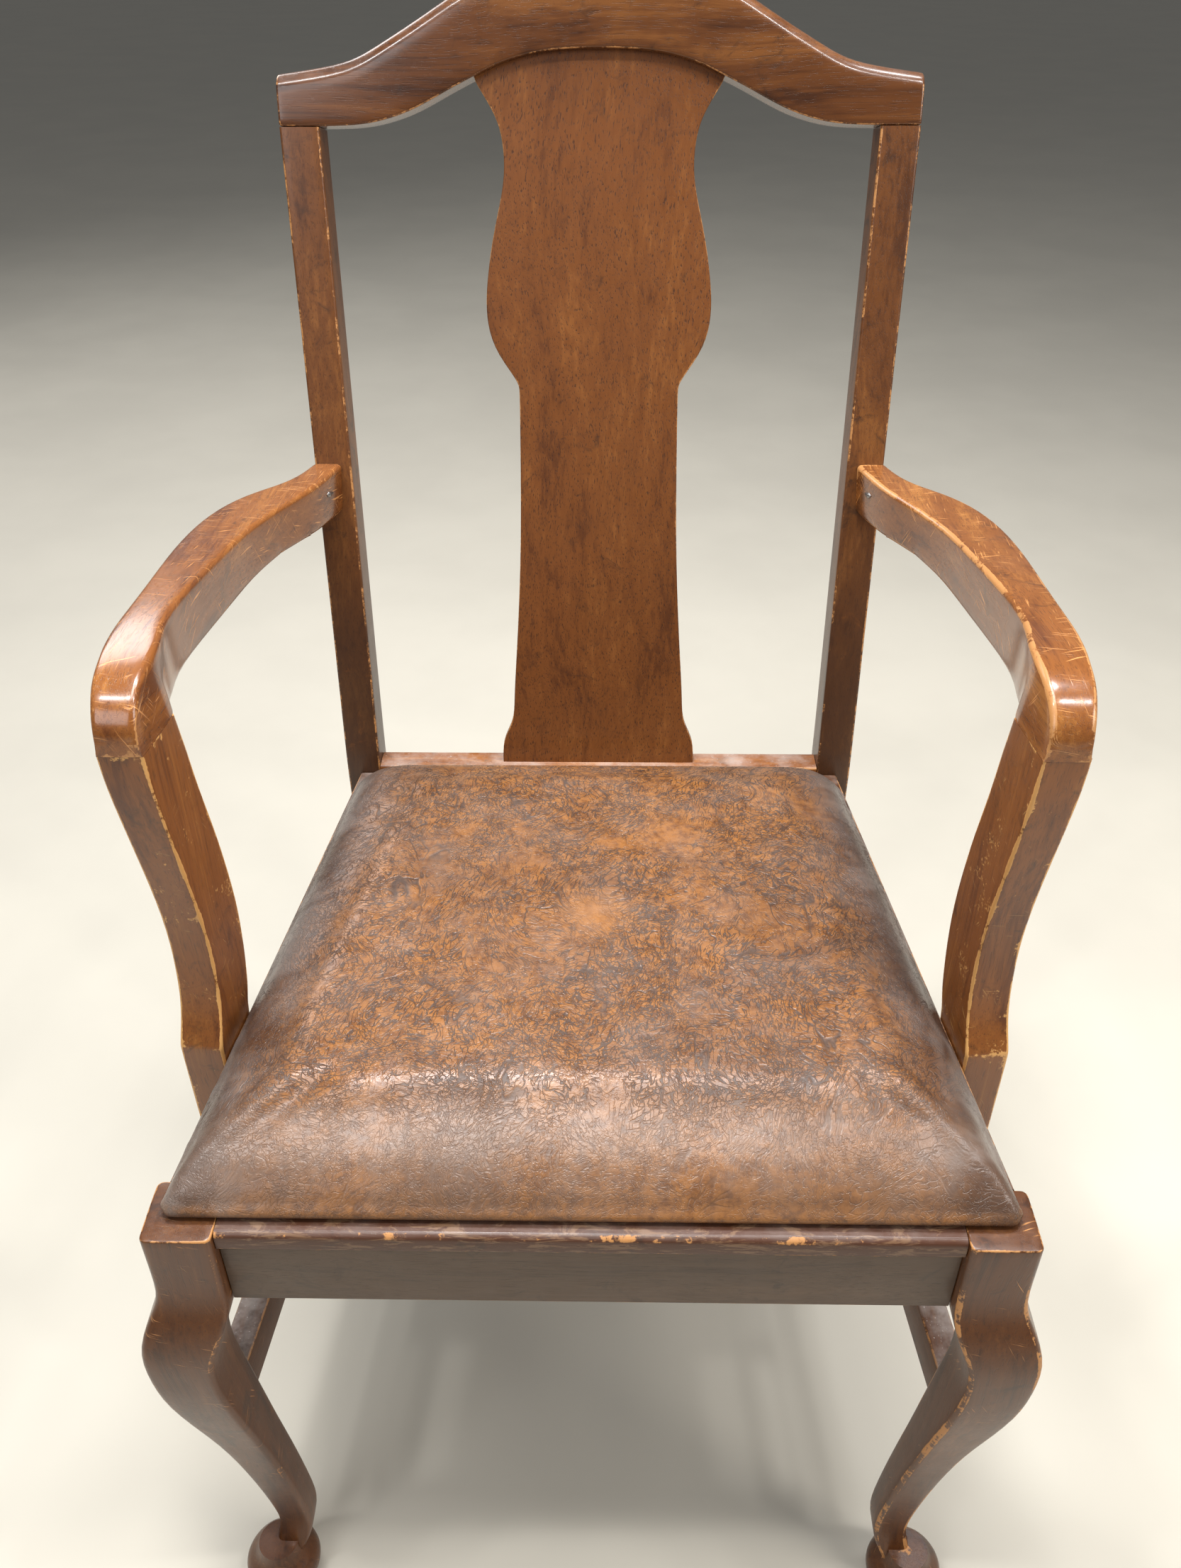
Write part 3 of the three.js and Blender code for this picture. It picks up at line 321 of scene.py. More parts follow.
def crest_rail():
    """Serpentine rail with a hump over the splat, rounded along its front top arris."""
    # half of the rail: across, underside and top above the crest joint
    half = [
        (0.2230, 0.0000, 0.0330), (0.2180, 0.0000, 0.0336), (0.2050, 0.0000, 0.0353),
        (0.1900, 0.0000, 0.0374), (0.1760, 0.0002, 0.0402), (0.1660, 0.0009, 0.0436),
        (0.1560, 0.0022, 0.0484), (0.1440, 0.0050, 0.0550), (0.1320, 0.0088, 0.0615),
        (0.1210, 0.0136, 0.0678), (0.1100, 0.0190, 0.0742), (0.1000, 0.0240, 0.0800),
        (0.0870, 0.0298, 0.0868), (0.0760, 0.0350, 0.0916), (0.0660, 0.0390, 0.0954),
        (0.0530, 0.0426, 0.0996), (0.0410, 0.0450, 0.1025), (0.0270, 0.0464, 0.1047),
        (0.0130, 0.0470, 0.1057), (0.0000, 0.0472, 0.1060),
    ]
    whole = [(-x, low, top) for x, low, top in half] + half[-2::-1]
    foot = REAR_RAIL_TOP + BACK_LENGTH
    thick = 0.027
    draw_stock("X", [((x, POST_FRONT + thick / 2, foot + (low + top) / 2), thick, top - low)
                     for x, low, top in whole])
    true_up()

    def long_arris(edge, on_top):
        faces_up = sum(face.normal.z for face in edge.link_faces) > 0.3
        return abs(run(edge).x) > 0.3 and faces_up == on_top

    soften(0.0105, 5, lambda e: long_arris(e, True) and middle(e).y < POST_FRONT + 0.004, least=50)
    soften(0.0060, 4, lambda e: long_arris(e, True), least=50)
    soften(0.0018, 3, lambda e: long_arris(e, False), least=50)
    soften(0.0030, 3, lambda e: abs(middle(e).x) > 0.222, least=50)
    lean()
    return release("crest", 1, 0.0040)


def back_splat():
    """Vase-shaped board between the rear rail and the crest."""
    # height above the rear rail, half width
    stations = [
        (0.0004, 0.0800), (0.0110, 0.0798), (0.0200, 0.0790), (0.0270, 0.0762), (0.0340, 0.0728),
        (0.0420, 0.0703), (0.0520, 0.0694), (0.0640, 0.0690), (0.0880, 0.0672), (0.1170, 0.0650),
        (0.1500, 0.0630), (0.1900, 0.0610), (0.2450, 0.0600), (0.2950, 0.0596), (0.3035, 0.0597),
        (0.3075, 0.0606), (0.3160, 0.0664), (0.3278, 0.0748), (0.3390, 0.0797), (0.3494, 0.0820),
        (0.3600, 0.0827), (0.3699, 0.0824), (0.3830, 0.0808), (0.3977, 0.0785), (0.4110, 0.0757),
        (0.4244, 0.0724), (0.4370, 0.0692), (0.4490, 0.0673), (0.4600, 0.0671), (0.4696, 0.0680),
        (0.4775, 0.0696), (0.4845, 0.0722), (0.4915, 0.0759), (0.4980, 0.0800), (0.5040, 0.0840),
        (0.5090, 0.0868), (0.5150, 0.0870), (0.5300, 0.0870),
    ]
    thick, recess = 0.009, 0.007
    draw_stock("Z", [((0, POST_FRONT + recess + thick / 2, REAR_RAIL_TOP + up), 2 * half, thick)
                     for up, half in stations])
    true_up()
    soften(0.0012, 3, lambda e: abs(run(e).z) > 0.2 or abs(run(e).x) < 0.9)
    lean()
    return release("splat", 1)


def rail(name, ends, width, low, top, round_over=0.002):
    """A plain rail drawn from one end to the other, with softened arrises."""
    axis = "X" if abs(ends[1][0] - ends[0][0]) > abs(ends[1][1] - ends[0][1]) else "Y"
    sections = []
    for share in (0, 0.02, 0.25, 0.5, 0.75, 0.98, 1):
        place = [a + share * (b - a) for a, b in zip(*ends)]
        sections.append(((place[0], place[1], (low + top) / 2), width, top - low))
    draw_stock(axis, sections)
    true_up()
    along = 0 if axis == "X" else 1
    soften(round_over, 4, lambda e: abs(run(e)[along]) > 0.7)
    return release(name)


def front_rail():
    """Front seat rail with a rounded lip along its top."""
    end = HALF_FRONT - BLOCK - SEAM
    face, back = FRONT + 0.009, FRONT + 0.031
    lip = RAIL_TOP - 0.0150
    overhang = 0.004
    draw_stock("X", [((x, (face + back) / 2, (RAIL_LOW + RAIL_TOP) / 2), back - face,
                      RAIL_TOP - RAIL_LOW) for x in (-end, -0.7 * end, 0, 0.7 * end, end)])
    true_up()
    bpy.ops.mesh.select_all(action="SELECT")
    bpy.ops.mesh.bisect(plane_co=(0, 0, lip), plane_no=(0, 0, 1))
    pick("FACE", lambda f: f.normal.y < -0.9 and f.calc_center_median().z > lip)
    bpy.ops.mesh.extrude_region_move(TRANSFORM_OT_translate={"value": (0, -overhang, 0)})
    true_up()
    near = 0.002

    def on_lip(edge):
        return abs(run(edge).x) > 0.9 and middle(edge).y < face - near

    def below_or_behind(edge):
        return abs(run(edge).x) > 0.9 and (middle(edge).z < RAIL_LOW + near
                                           or middle(edge).y > back - near)

    soften(0.0062, 5, lambda e: on_lip(e) and middle(e).z > lip + 0.01)
    soften(0.0030, 4, lambda e: on_lip(e) and middle(e).z < lip + near)
    soften(0.0012, 3, below_or_behind)
    return release("front_rail")


def arm_post():
    """Upright under the arm: lapped on the side rail, bowed backward above it."""
    # height, front face and back face behind the front of the legs, width
    stations = [
        (0.3710, 0.1320, 0.1710, 0.0284), (0.3760, 0.1320, 0.1760, 0.0284),
        (0.4100, 0.1320, 0.1768, 0.0284), (0.4400, 0.1320, 0.1790, 0.0284),
        (0.4465, 0.1320, 0.1815, 0.0282), (0.4480, 0.1324, 0.1822, 0.0282),
        (0.4560, 0.1360, 0.1856, 0.0279), (0.4660, 0.1402, 0.1880, 0.0273),
        (0.4760, 0.1430, 0.1900, 0.0269), (0.4860, 0.1450, 0.1916, 0.0267),
        (0.5020, 0.1469, 0.1934, 0.0265), (0.5200, 0.1476, 0.1942, 0.0262),
        (0.5450, 0.1460, 0.1924, 0.0258), (0.5750, 0.1413, 0.1886, 0.0257),
        (0.6000, 0.1368, 0.1837, 0.0259), (0.6200, 0.1334, 0.1796, 0.0262),
        (0.6400, 0.1302, 0.1768, 0.0266), (0.6520, 0.1286, 0.1752, 0.0268),
        (0.6650, 0.1275, 0.1728, 0.0270), (ARM_JOINT, 0.1270, 0.1708, 0.0270),
    ]
    inner = side_rail_x(ARM_POST_SETBACK) + SEAM
    draw_stock("Z", [((inner + width / 2, FRONT + (near + far) / 2, z), width, far - near)
                     for z, near, far, width in stations])
    true_up()
    soften(0.0019, 4, lambda e: abs(run(e).z) > 0.2)
    soften(0.0010, 2, lambda e: middle(e).z < 0.38, least=40)
    turn(SLANT, "Z", (inner, FRONT + ARM_POST_SETBACK, 0))
    return release("arm_support_right", 1, 0.0026)


def arm():
    """Stands on its post with a rounded nose, then sweeps back and in to the rear post."""
    foot = ARM_JOINT + SEAM
    # distance behind the legs, inner and outer side, underside and top
    stations = [
        (0.1272, 0.2376, 0.2592, foot, 0.6880), (0.1288, 0.2372, 0.2600, foot, 0.6940),
        (0.1324, 0.2369, 0.2609, foot, 0.7002), (0.1380, 0.2366, 0.2618, foot, 0.7058),
        (0.1465, 0.2363, 0.2634, foot, 0.7106), (0.1570, 0.2361, 0.2646, foot, 0.7133),
        (0.1705, 0.2361, 0.2660, foot, 0.7143), (0.1790, 0.2363, 0.2670, 0.6767, 0.7142),
        (0.1900, 0.2372, 0.2680, 0.6760, 0.7138), (0.2050, 0.2405, 0.2692, 0.6742, 0.7130),
        (0.2300, 0.2432, 0.2698, 0.6712, 0.7108), (0.2650, 0.2424, 0.2712, 0.6673, 0.7070),
        (0.3000, 0.2403, 0.2734, 0.6640, 0.7030), (0.3350, 0.2378, 0.2750, 0.6613, 0.6990),
        (0.3650, 0.2350, 0.2745, 0.6597, 0.6960), (0.3900, 0.2298, 0.2720, 0.6587, 0.6938),
        (0.4120, 0.2238, 0.2674, 0.6578, 0.6920), (0.4300, 0.2174, 0.2605, 0.6562, 0.6908),
        (0.4460, 0.2114, 0.2510, 0.6549, 0.6898), (0.4600, 0.2068, 0.2390, 0.6538, 0.6890),
        (0.4740, 0.2034, 0.2298, 0.6527, 0.6882), (0.4900, 0.2000, 0.2236, 0.6514, 0.6873),
        (0.5160, 0.1955, 0.2178, 0.6495, 0.6858),
    ]
    draw_stock("Y", [(((inner + outer) / 2, FRONT + back, (under + top) / 2), outer - inner,
                      top - under) for back, inner, outer, under, top in stations])
    true_up()

    def on_post(vertex):
        return abs(vertex.co.z - foot) < 1e-5 and vertex.co.y < FRONT + 0.1712

    # the underside at the front takes the post's own outline
    foot_width = 0.0247
    for back, inner, outer, *_ in stations[:7]:
        post_inner = (side_rail_x(ARM_POST_SETBACK) + SEAM
                      - math.tan(SLANT) * (back - ARM_POST_SETBACK))
        for side, to in ((inner, post_inner), (outer, post_inner + foot_width)):
            pick("VERT", lambda v: on_post(v) and abs(v.co.y - FRONT - back) < 1e-5 and
                 abs(v.co.x - side) < 1e-4)
            bpy.ops.transform.translate(value=(to - side, 0, 0))
    saw((0, POST_FRONT - SEAM, REAR_RAIL_TOP), (0, math.cos(RAKE), -math.sin(RAKE)))

    def at_rear_post(vertex):
        return abs(vertex.co.y - POST_FRONT
                   - (vertex.co.z - REAR_RAIL_TOP) * math.tan(RAKE)) < 0.002

    def free(edge):
        """Neither in a joint nor across the arm."""
        return (not all(at_rear_post(v) for v in edge.verts)
                and not any(on_post(v) for v in edge.verts) and abs(run(edge).x) < 0.8)

    def upper(edge):
        return (sum(face.normal.z for face in edge.link_faces) > 0.3
                or sum(face.normal.y for face in edge.link_faces) < -0.4)

    soften(0.0100, 5, lambda e: upper(e) and free(e), least=45)
    soften(0.0050, 4, lambda e: free(e) and middle(e).y > FRONT + 0.175, least=45)
    return release("armrest_right", 1, 0.0050)


def side_rail():
    """Side seat rail, between a front leg and a rear post."""
    ends = [(side_rail_x(back) - RAIL_THICK / 2, FRONT + back, 0)
            for back in (BLOCK + SEAM, SEAT_DEPTH - SEAM)]
    return rail("side_rail_right", ends, RAIL_THICK, RAIL_LOW, RAIL_TOP)


def side_stretcher():
    """Stretcher low on each side, running in toward the back."""
    ends = [(0.2417 - 0.0915 * back, FRONT + back, 0) for back in (0.030, 0.467)]
    return rail("stretcher_right", ends, 0.020, 0.217, 0.252, 0.0018)


def middle_stretcher():
    """Stretcher that ties the two side stretchers."""
    ends = [(x, FRONT + 0.245, 0) for x in (-0.2100, 0.2100)]
    return rail("middle_stretcher", ends, 0.020, 0.219, 0.250, 0.0018)


def rear_rail():
    """Rear seat rail, between the rear posts."""
    ends = [(x, POST_FRONT + RAIL_THICK / 2, 0) for x in (-0.1828, 0.1828)]
    return rail("rear_rail", ends, RAIL_THICK, RAIL_LOW, REAR_RAIL_TOP)


# ---- wiring for the finishes -------------------------------------------------------------------
def plug(tree, socket, value):
    """Feeds a socket from another socket, or sets it."""
    if isinstance(value, bpy.types.NodeSocket):
        tree.links.new(value, socket)
    elif isinstance(value, tuple) and len(value) == 3 and socket.type == "RGBA":
        socket.default_value = (*value, 1)
    else:
        socket.default_value = value


def node(tree, kind, feeds=None, **settings):
    """Adds a shader node, feeds its sockets and sets its options."""
    made = tree.nodes.new("ShaderNode" + kind)
    for key, value in settings.items():
        setattr(made, key, value)
    for key, value in (feeds or {}).items():
        plug(tree, made.inputs[key], value)
    return made


def calc(tree, operation, *values):
    """One step of arithmetic on sockets or numbers."""
    return node(tree, "Math", dict(enumerate(values)), operation=operation).outputs[0]


def times(tree, first, *others):
    for other in others:
        first = calc(tree, "MULTIPLY", first, other)
    return first


def plus(tree, one, other):
    return calc(tree, "ADD", one, other)


def minus(tree, one, other):
    return calc(tree, "SUBTRACT", one, other)


def most(tree, one, other):
    """The larger of two values."""
    return calc(tree, "MAXIMUM", one, other)


def distance_from(tree, value, target):
    """How far a value lies from a target, either way."""
    return calc(tree, "ABSOLUTE", minus(tree, value, target))


def move(tree, vector, by):
    """Adds one vector to another."""
    return node(tree, "VectorMath", {0: vector, 1: by}, operation="ADD").outputs[0]


def parts_of(tree, vector):
    """The X, Y and Z of a vector."""
    return node(tree, "SeparateXYZ", {0: vector}).outputs


def fade(tree, value, start, end, low=0.0, high=1.0):
    """Turns a value between start and end smoothly into low to high."""
    feeds = {"Value": value, "From Min": start, "From Max": end, "To Min": low, "To Max": high}
    return node(tree, "MapRange", feeds, interpolation_type="SMOOTHSTEP").outputs[0]


def lay(tree, share, under, over):
    """Lays one colour over another."""
    return node(tree, "Mix", {0: share, 6: under, 7: over}, data_type="RGBA").outputs[2]


def noise(tree, vector, scale, detail=3, rough=0.55, distortion=0.0, stretch=None):
    """Noise around 0.5; a stretch below 1 draws it out along that axis."""
    if stretch:
        vector = node(tree, "VectorMath", {0: vector, 1: stretch}, operation="MULTIPLY").outputs[0]
    feeds = {"Vector": vector, "Scale": scale, "Detail": detail, "Roughness": rough,
             "Distortion": distortion}
    return node(tree, "TexNoise", feeds).outputs["Fac"]


def recipe(name, takes, gives):
    """An effect that several materials use, with its named inputs and outputs."""
    group = bpy.data.node_groups.new(name, "ShaderNodeTree")
    for in_out, sockets in (("INPUT", takes), ("OUTPUT", gives)):
        for label, kind in sockets:
            group.interface.new_socket(name=label, in_out=in_out, socket_type="NodeSocket" + kind)
    take = group.nodes.new("NodeGroupInput").outputs
    give = group.nodes.new("NodeGroupOutput").inputs
    return group, take, give


def use(tree, group, feeds):
    """Adds a recipe to a material and gives its outputs."""
    made = tree.nodes.new("ShaderNodeGroup")
    made.node_tree = group
    for key, value in feeds.items():
        plug(tree, made.inputs[key], value)
    return made.outputs


# ---- recipes ------------------------------------------------------------------------------------
def wood_figure():
    """Streaks, tone and pores that run along Z of the vector."""
    tree, take, give = recipe("wood figure", [
        ("Vector", "Vector"), ("Dark", "Color"), ("Middle", "Color"), ("Light", "Color"),
        ("Flame", "Float"), ("Pores", "Float")], [("Color", "Color"), ("Height", "Float")])
    vector = take["Vector"]
    sway = noise(tree, vector, 5, 2, stretch=(1, 1, 0.6))
    aside = node(tree, "CombineXYZ", {0: times(tree, sway, 0.05), 1: times(tree, sway, 0.03)})
    swayed = move(tree, vector, aside.outputs[0])
    broad = noise(tree, swayed, 42, 4, 0.6, 0.6, (1, 1, 0.05))
    fine = noise(tree, swayed, 330, 3, 0.6, 0.3, (1, 1, 0.022))
    patch = noise(tree, vector, 7, 2, 0.5, 0.4, (1, 1, 0.35))
    flame = noise(tree, swayed, 16, 3, 0.6, 2.2, (1, 1, 0.3))
    tone = plus(tree, times(tree, broad, 0.45), times(tree, fine, 0.30))
    tone = plus(tree, tone, times(tree, patch, 0.25))
    tone = plus(tree, tone, times(tree, minus(tree, flame, 0.5), take["Flame"]))
    color = lay(tree, fade(tree, tone, 0.36, 0.50), take["Dark"], take["Middle"])
    color = lay(tree, fade(tree, tone, 0.50, 0.66), color, take["Light"])
    pore = noise(tree, swayed, 1500, 1, 0.5, 0.0, (1, 1, 0.035))
    pore = times(tree, fade(tree, pore, 0.40, 0.33), take["Pores"])
    color = lay(tree, times(tree, pore, 0.75), color, (0.03, 0.012, 0.006))
    plug(tree, give["Color"], color)
    plug(tree, give["Height"], minus(tree, times(tree, fine, 0.25), pore))
    return tree


MASK_TAKES = [("Vector", "Vector"), ("Amount", "Float")]
MASK_GIVES = [("Mask", "Float")]


def rubbed_arris():
    """Where the finish has worn through along the arrises, patchy and broken."""
    tree, take, give = recipe("rubbed arris", MASK_TAKES, MASK_GIVES)
    arris = node(tree, "Attribute", attribute_name="arris").outputs["Fac"]
    ragged = noise(tree, take["Vector"], 420, 3, 0.7)
    patchy = noise(tree, take["Vector"], 30, 4, 0.7)
    edge = plus(tree, arris, minus(tree, ragged, 0.5))
    reach = times(tree, take["Amount"], fade(tree, patchy, 0.36, 0.64, 0.3, 1.0))
    limit = minus(tree, 1.38, reach)
    plug(tree, give["Mask"], fade(tree, minus(tree, edge, limit), -0.08, 0.12))
    return tree


def scratches():
    """Fine straight and curved scratches in three directions, gathered in patches."""
    tree, take, give = recipe("scratches", MASK_TAKES, MASK_GIVES)
    total = None
    for number, turned in enumerate(((0.3, 0.5, 0.2), (1.1, 0.2, 1.4), (0.2, 1.3, 2.3))):
        spun = node(tree, "Mapping", {"Vector": take["Vector"], "Rotation": turned,
                                      "Location": (number * 0.37, 0.11, number * 0.23)})
        line = noise(tree, spun.outputs[0], 1300, 2, 0.5, 0.12, (1, 0.028, 0.028))
        gathered = plus(tree, noise(tree, spun.outputs[0], 34 + 9 * number, 2), take["Amount"])
        line = times(tree, fade(tree, line, 0.64, 0.70), fade(tree, gathered, 0.98, 1.12))
        total = line if total is None else most(tree, total, line)
    plug(tree, give["Mask"], total)
    return tree


def settled_dust():
    """Pale dust that lies on what faces up."""
    tree, take, give = recipe("settled dust", MASK_TAKES, MASK_GIVES)
    normal = node(tree, "NewGeometry").outputs["Normal"]
    up = fade(tree, parts_of(tree, normal)[2], 0.35, 0.95)
    cloud = noise(tree, take["Vector"], 30, 4, 0.7)
    speck = fade(tree, noise(tree, take["Vector"], 620, 2), 0.66, 0.74)
    film = plus(tree, fade(tree, cloud, 0.3, 0.75), times(tree, speck, 0.8))
    plug(tree, give["Mask"], times(tree, film, up, take["Amount"]))
    return tree


def grime():
    """Dark stains and water marks."""
    tree, take, give = recipe("grime", MASK_TAKES, MASK_GIVES)
    blot = noise(tree, take["Vector"], 38, 5, 0.7, 1.2)
    blot = plus(tree, blot, times(tree, take["Amount"], 0.4))
    plug(tree, give["Mask"], fade(tree, blot, 0.62, 0.82))
    return tree


FIGURE, RUBBED, SCRATCHED, DUSTED, STAINED = (
    wood_figure(), rubbed_arris(), scratches(), settled_dust(), grime())


def new_material(name):
    """A new material: itself, its tree, its shader and the chair's own coordinates."""
    material = bpy.data.materials.new(name)
    material.use_nodes = True
    tree = material.node_tree
    place = node(tree, "TexCoord").outputs["Object"]
    return material, tree, tree.nodes["Principled BSDF"], place


def grain_along(tree, place, axis, shift):
    """Turns the coordinates so that the grain follows an axis of the chair."""
    part = parts_of(tree, place)
    order = {"X": (1, 2, 0), "Y": (2, 0, 1), "Z": (0, 1, 2)}[axis]
    turned = node(tree, "CombineXYZ", {i: part[order[i]] for i in range(3)}).outputs[0]
    away = (shift, 0.31 * shift, 0.7 * shift)
    return node(tree, "Mapping", {"Vector": turned, "Location": away}).outputs[0]


def mask(tree, group, vector, amount):
    """How much of a recipe shows at each place."""
    return use(tree, group, {"Vector": vector, "Amount": amount})["Mask"]


def relief(tree, shader, height, strength, deep):
    """Feeds a height to the shader as fine relief."""
    feeds = {"Strength": strength, "Distance": deep, "Height": height}
    plug(tree, shader.inputs["Normal"], node(tree, "Bump", feeds).outputs[0])


def varnished(name, axis, shift, tones, flame=0.15, pores=0.5, rubbed=0.6, scratched=0.3, dust=0.1,
              stain=0.2, rough=0.34, coat=0.25, bare=(0.48, 0.22, 0.070), stain_low=None, lip=None):
    """Stained and varnished wood, worn by use.

    bare is the wood under the varnish, stain_low the heights between which dark stains fade out,
    and lip the height above which a rail's rounded top begins.
    """
    material, tree, shader, place = new_material(name)
    vector = grain_along(tree, place, axis, shift)
    dark, middle_tone, light = tones
    figure = use(tree, FIGURE, {"Vector": vector, "Dark": dark, "Middle": middle_tone,
                                "Light": light, "Flame": flame, "Pores": pores})
    rub = mask(tree, RUBBED, vector, rubbed)
    cut = mask(tree, SCRATCHED, place, scratched)
    film = mask(tree, DUSTED, place, dust)
    blot = mask(tree, STAINED, place, stain)
    color = figure["Color"]
    if lip:
        up = fade(tree, parts_of(tree, place)[2], lip - 0.0006, lip + 0.0006)
        worn = fade(tree, noise(tree, place, 90, 4, 0.75, 0.8, (0.5, 1, 3.0)), 0.50, 0.60)
        color = lay(tree, up, color, (0.078, 0.028, 0.0130))
        color = lay(tree, times(tree, worn, up, 0.6), color, (0.240, 0.135, 0.070))
    if stain_low:
        low = fade(tree, parts_of(tree, place)[2], stain_low[1], stain_low[0])
        blot = most(tree, blot, times(tree, mask(tree, STAINED, place, 1.0), low))
    color = lay(tree, times(tree, blot, 0.6), color, (0.022, 0.012, 0.008))
    color = lay(tree, rub, color, bare)
    color = lay(tree, times(tree, cut, 0.65), color, tuple(min(1, 1.7 * c) for c in bare))
    color = lay(tree, film, color, (0.52, 0.46, 0.42))
    plug(tree, shader.inputs["Base Color"], color)
    gloss = plus(tree, rough - 0.08, times(tree, noise(tree, place, 60, 4, 0.65), 0.16))
    gloss = plus(tree, gloss, times(tree, most(tree, rub, film), 0.22))
    plug(tree, shader.inputs["Roughness"], gloss)
    shader.inputs["Coat Weight"].default_value = coat
    shader.inputs["Coat Roughness"].default_value = 0.16
    shader.inputs["Specular IOR Level"].default_value = 0.38
    height = minus(tree, figure["Height"], times(tree, cut, 1.2))
    height = plus(tree, height, times(tree, noise(tree, place, 110, 2), 0.6))
    relief(tree, shader, height, 0.35, 0.0003)
    return material


# dark, middle and light tone of each kind of wood
MAHOGANY = ((0.046, 0.0150, 0.0048), (0.098, 0.0325, 0.0085), (0.165, 0.0600, 0.0150))
SPLAT_TONE = ((0.095, 0.029, 0.0070), (0.165, 0.053, 0.0110), (0.240, 0.086, 0.0190))
POST_TONE = ((0.068, 0.0220, 0.0060), (0.130, 0.0440, 0.0105), (0.205, 0.0760, 0.0180))
RAIL_TONE = ((0.060, 0.032, 0.0170), (0.086, 0.047, 0.0250), (0.115, 0.064, 0.0350))
HONEY = ((0.125, 0.036, 0.0085), (0.235, 0.078, 0.0165), (0.370, 0.145, 0.0320))
BEECH = ((0.30, 0.18, 0.09), (0.42, 0.27, 0.14), (0.52, 0.36, 0.20))

# how the legs and the arms are worn; their two sides differ in grain
LEG_WEAR = {"flame": 0.2, "dust": 0.04, "rough": 0.32, "coat": 0.15}
ARM_WEAR = {"flame": 0.3, "rubbed": 0.75, "scratched": 0.52, "dust": 0.02, "rough": 0.24,
            "coat": 0.7}

leg_finish = varnished("leg varnish", "Z", 0.0, MAHOGANY, rubbed=0.75, scratched=0.40, **LEG_WEAR)
leg_finish_left = varnished("leg varnish left", "Z", 1.7, MAHOGANY, rubbed=0.8, scratched=0.42,
                            **LEG_WEAR)
post_finish = varnished("rear post varnish", "Z", 3.1, POST_TONE, flame=0.25, rubbed=0.55,
                        scratched=0.12, stain=0.3, stain_low=(0.5, 0.68), dust=0.1, rough=0.4)
crest_finish = varnished("crest varnish", "X", 5.3, MAHOGANY, flame=0.6, rubbed=0.5,
                         scratched=0.15, dust=0.1, rough=0.26, coat=0.5)
splat_finish = varnished("splat varnish", "Z", 7.9, SPLAT_TONE, flame=0.1, pores=0.9, rubbed=0.6,
                         scratched=0.16, stain=0.1, dust=0.05, rough=0.42, coat=0.12)
rail_finish = varnished("front rail varnish", "X", 9.2, RAIL_TONE, flame=0.15, rubbed=1.05,
                        scratched=0.15, dust=0.12, rough=0.44, coat=0.1, lip=RAIL_TOP - 0.0155)
side_finish = varnished("side rail varnish", "Y", 11.4, MAHOGANY, dust=0.4, rough=0.42)
rear_finish = varnished("rear rail varnish", "X", 13.8, HONEY, dust=0.5, rubbed=0.7, rough=0.42)
stretcher_finish = varnished("stretcher varnish", "Y", 15.1, MAHOGANY, dust=0.75, rubbed=0.6,
                             rough=0.42)
cross_finish = varnished("cross stretcher varnish", "X", 17.3, MAHOGANY, dust=0.7, rough=0.42)
arm_finish = varnished("arm varnish", "Y", 19.6, HONEY, **ARM_WEAR)
arm_finish_left = varnished("arm varnish left", "Y", 21.2, HONEY, **ARM_WEAR)
arm_post_finish = varnished("arm post varnish", "Z", 23.4, HONEY, flame=0.15, rubbed=1.3,
                            scratched=0.38, dust=0.03, rough=0.34, coat=0.3,
                            bare=(0.70, 0.37, 0.12))
raw_finish = varnished("unfinished beech", "X", 25.0, BEECH, rubbed=0, scratched=0.05, stain=0.25,
                       dust=0.2, rough=0.7, coat=0.0)


def vinyl_creases(tree, place):
    """Embossed creases: fine ones in bundles that run three ways, and a few deeper ones."""
    bent = place
    for scale, reach in ((11, 0.075), (75, 0.005)):
        swirl = node(tree, "TexNoise", {"Vector": place, "Scale": scale, "Detail": 2})
        swirl = node(tree, "VectorMath", {0: swirl.outputs["Color"], "Scale": reach},
                     operation="SCALE")
        bent = move(tree, bent, swirl.outputs[0])
    creases = 0.0
    # direction, spacing and the noise level at which a bundle starts
    for number, (angle, spacing, start) in enumerate(((0.25, 330, 0.36), (1.25, 290, 0.40),
                                                      (2.3, 360, 0.42))):
        spun = node(tree, "Mapping", {"Vector": bent, "Rotation": (0, 0, angle),
                                      "Location": (0.13 * number, 0.07 * number, 0)}).outputs[0]
        field = noise(tree, spun, spacing, 1.5, 0.5, 0.35, (1.0, 0.24, 1))
        bundle = noise(tree, spun, 19 + 6 * number, 3, 0.65, 0.6, (1.0, 0.6, 1))
        line = times(tree, fade(tree, distance_from(tree, field, 0.5), 0.046, 0.012),
                     fade(tree, bundle, start, start + 0.17))
        creases = most(tree, creases, line)
    deep = noise(tree, bent, 46, 2, 0.5, 0.5, (1.0, 0.5, 1))
    deep = fade(tree, distance_from(tree, deep, 0.5), 0.028, 0.0)
    deep = times(tree, deep, fade(tree, noise(tree, place, 14, 2), 0.48, 0.60))
    return most(tree, creases, deep)


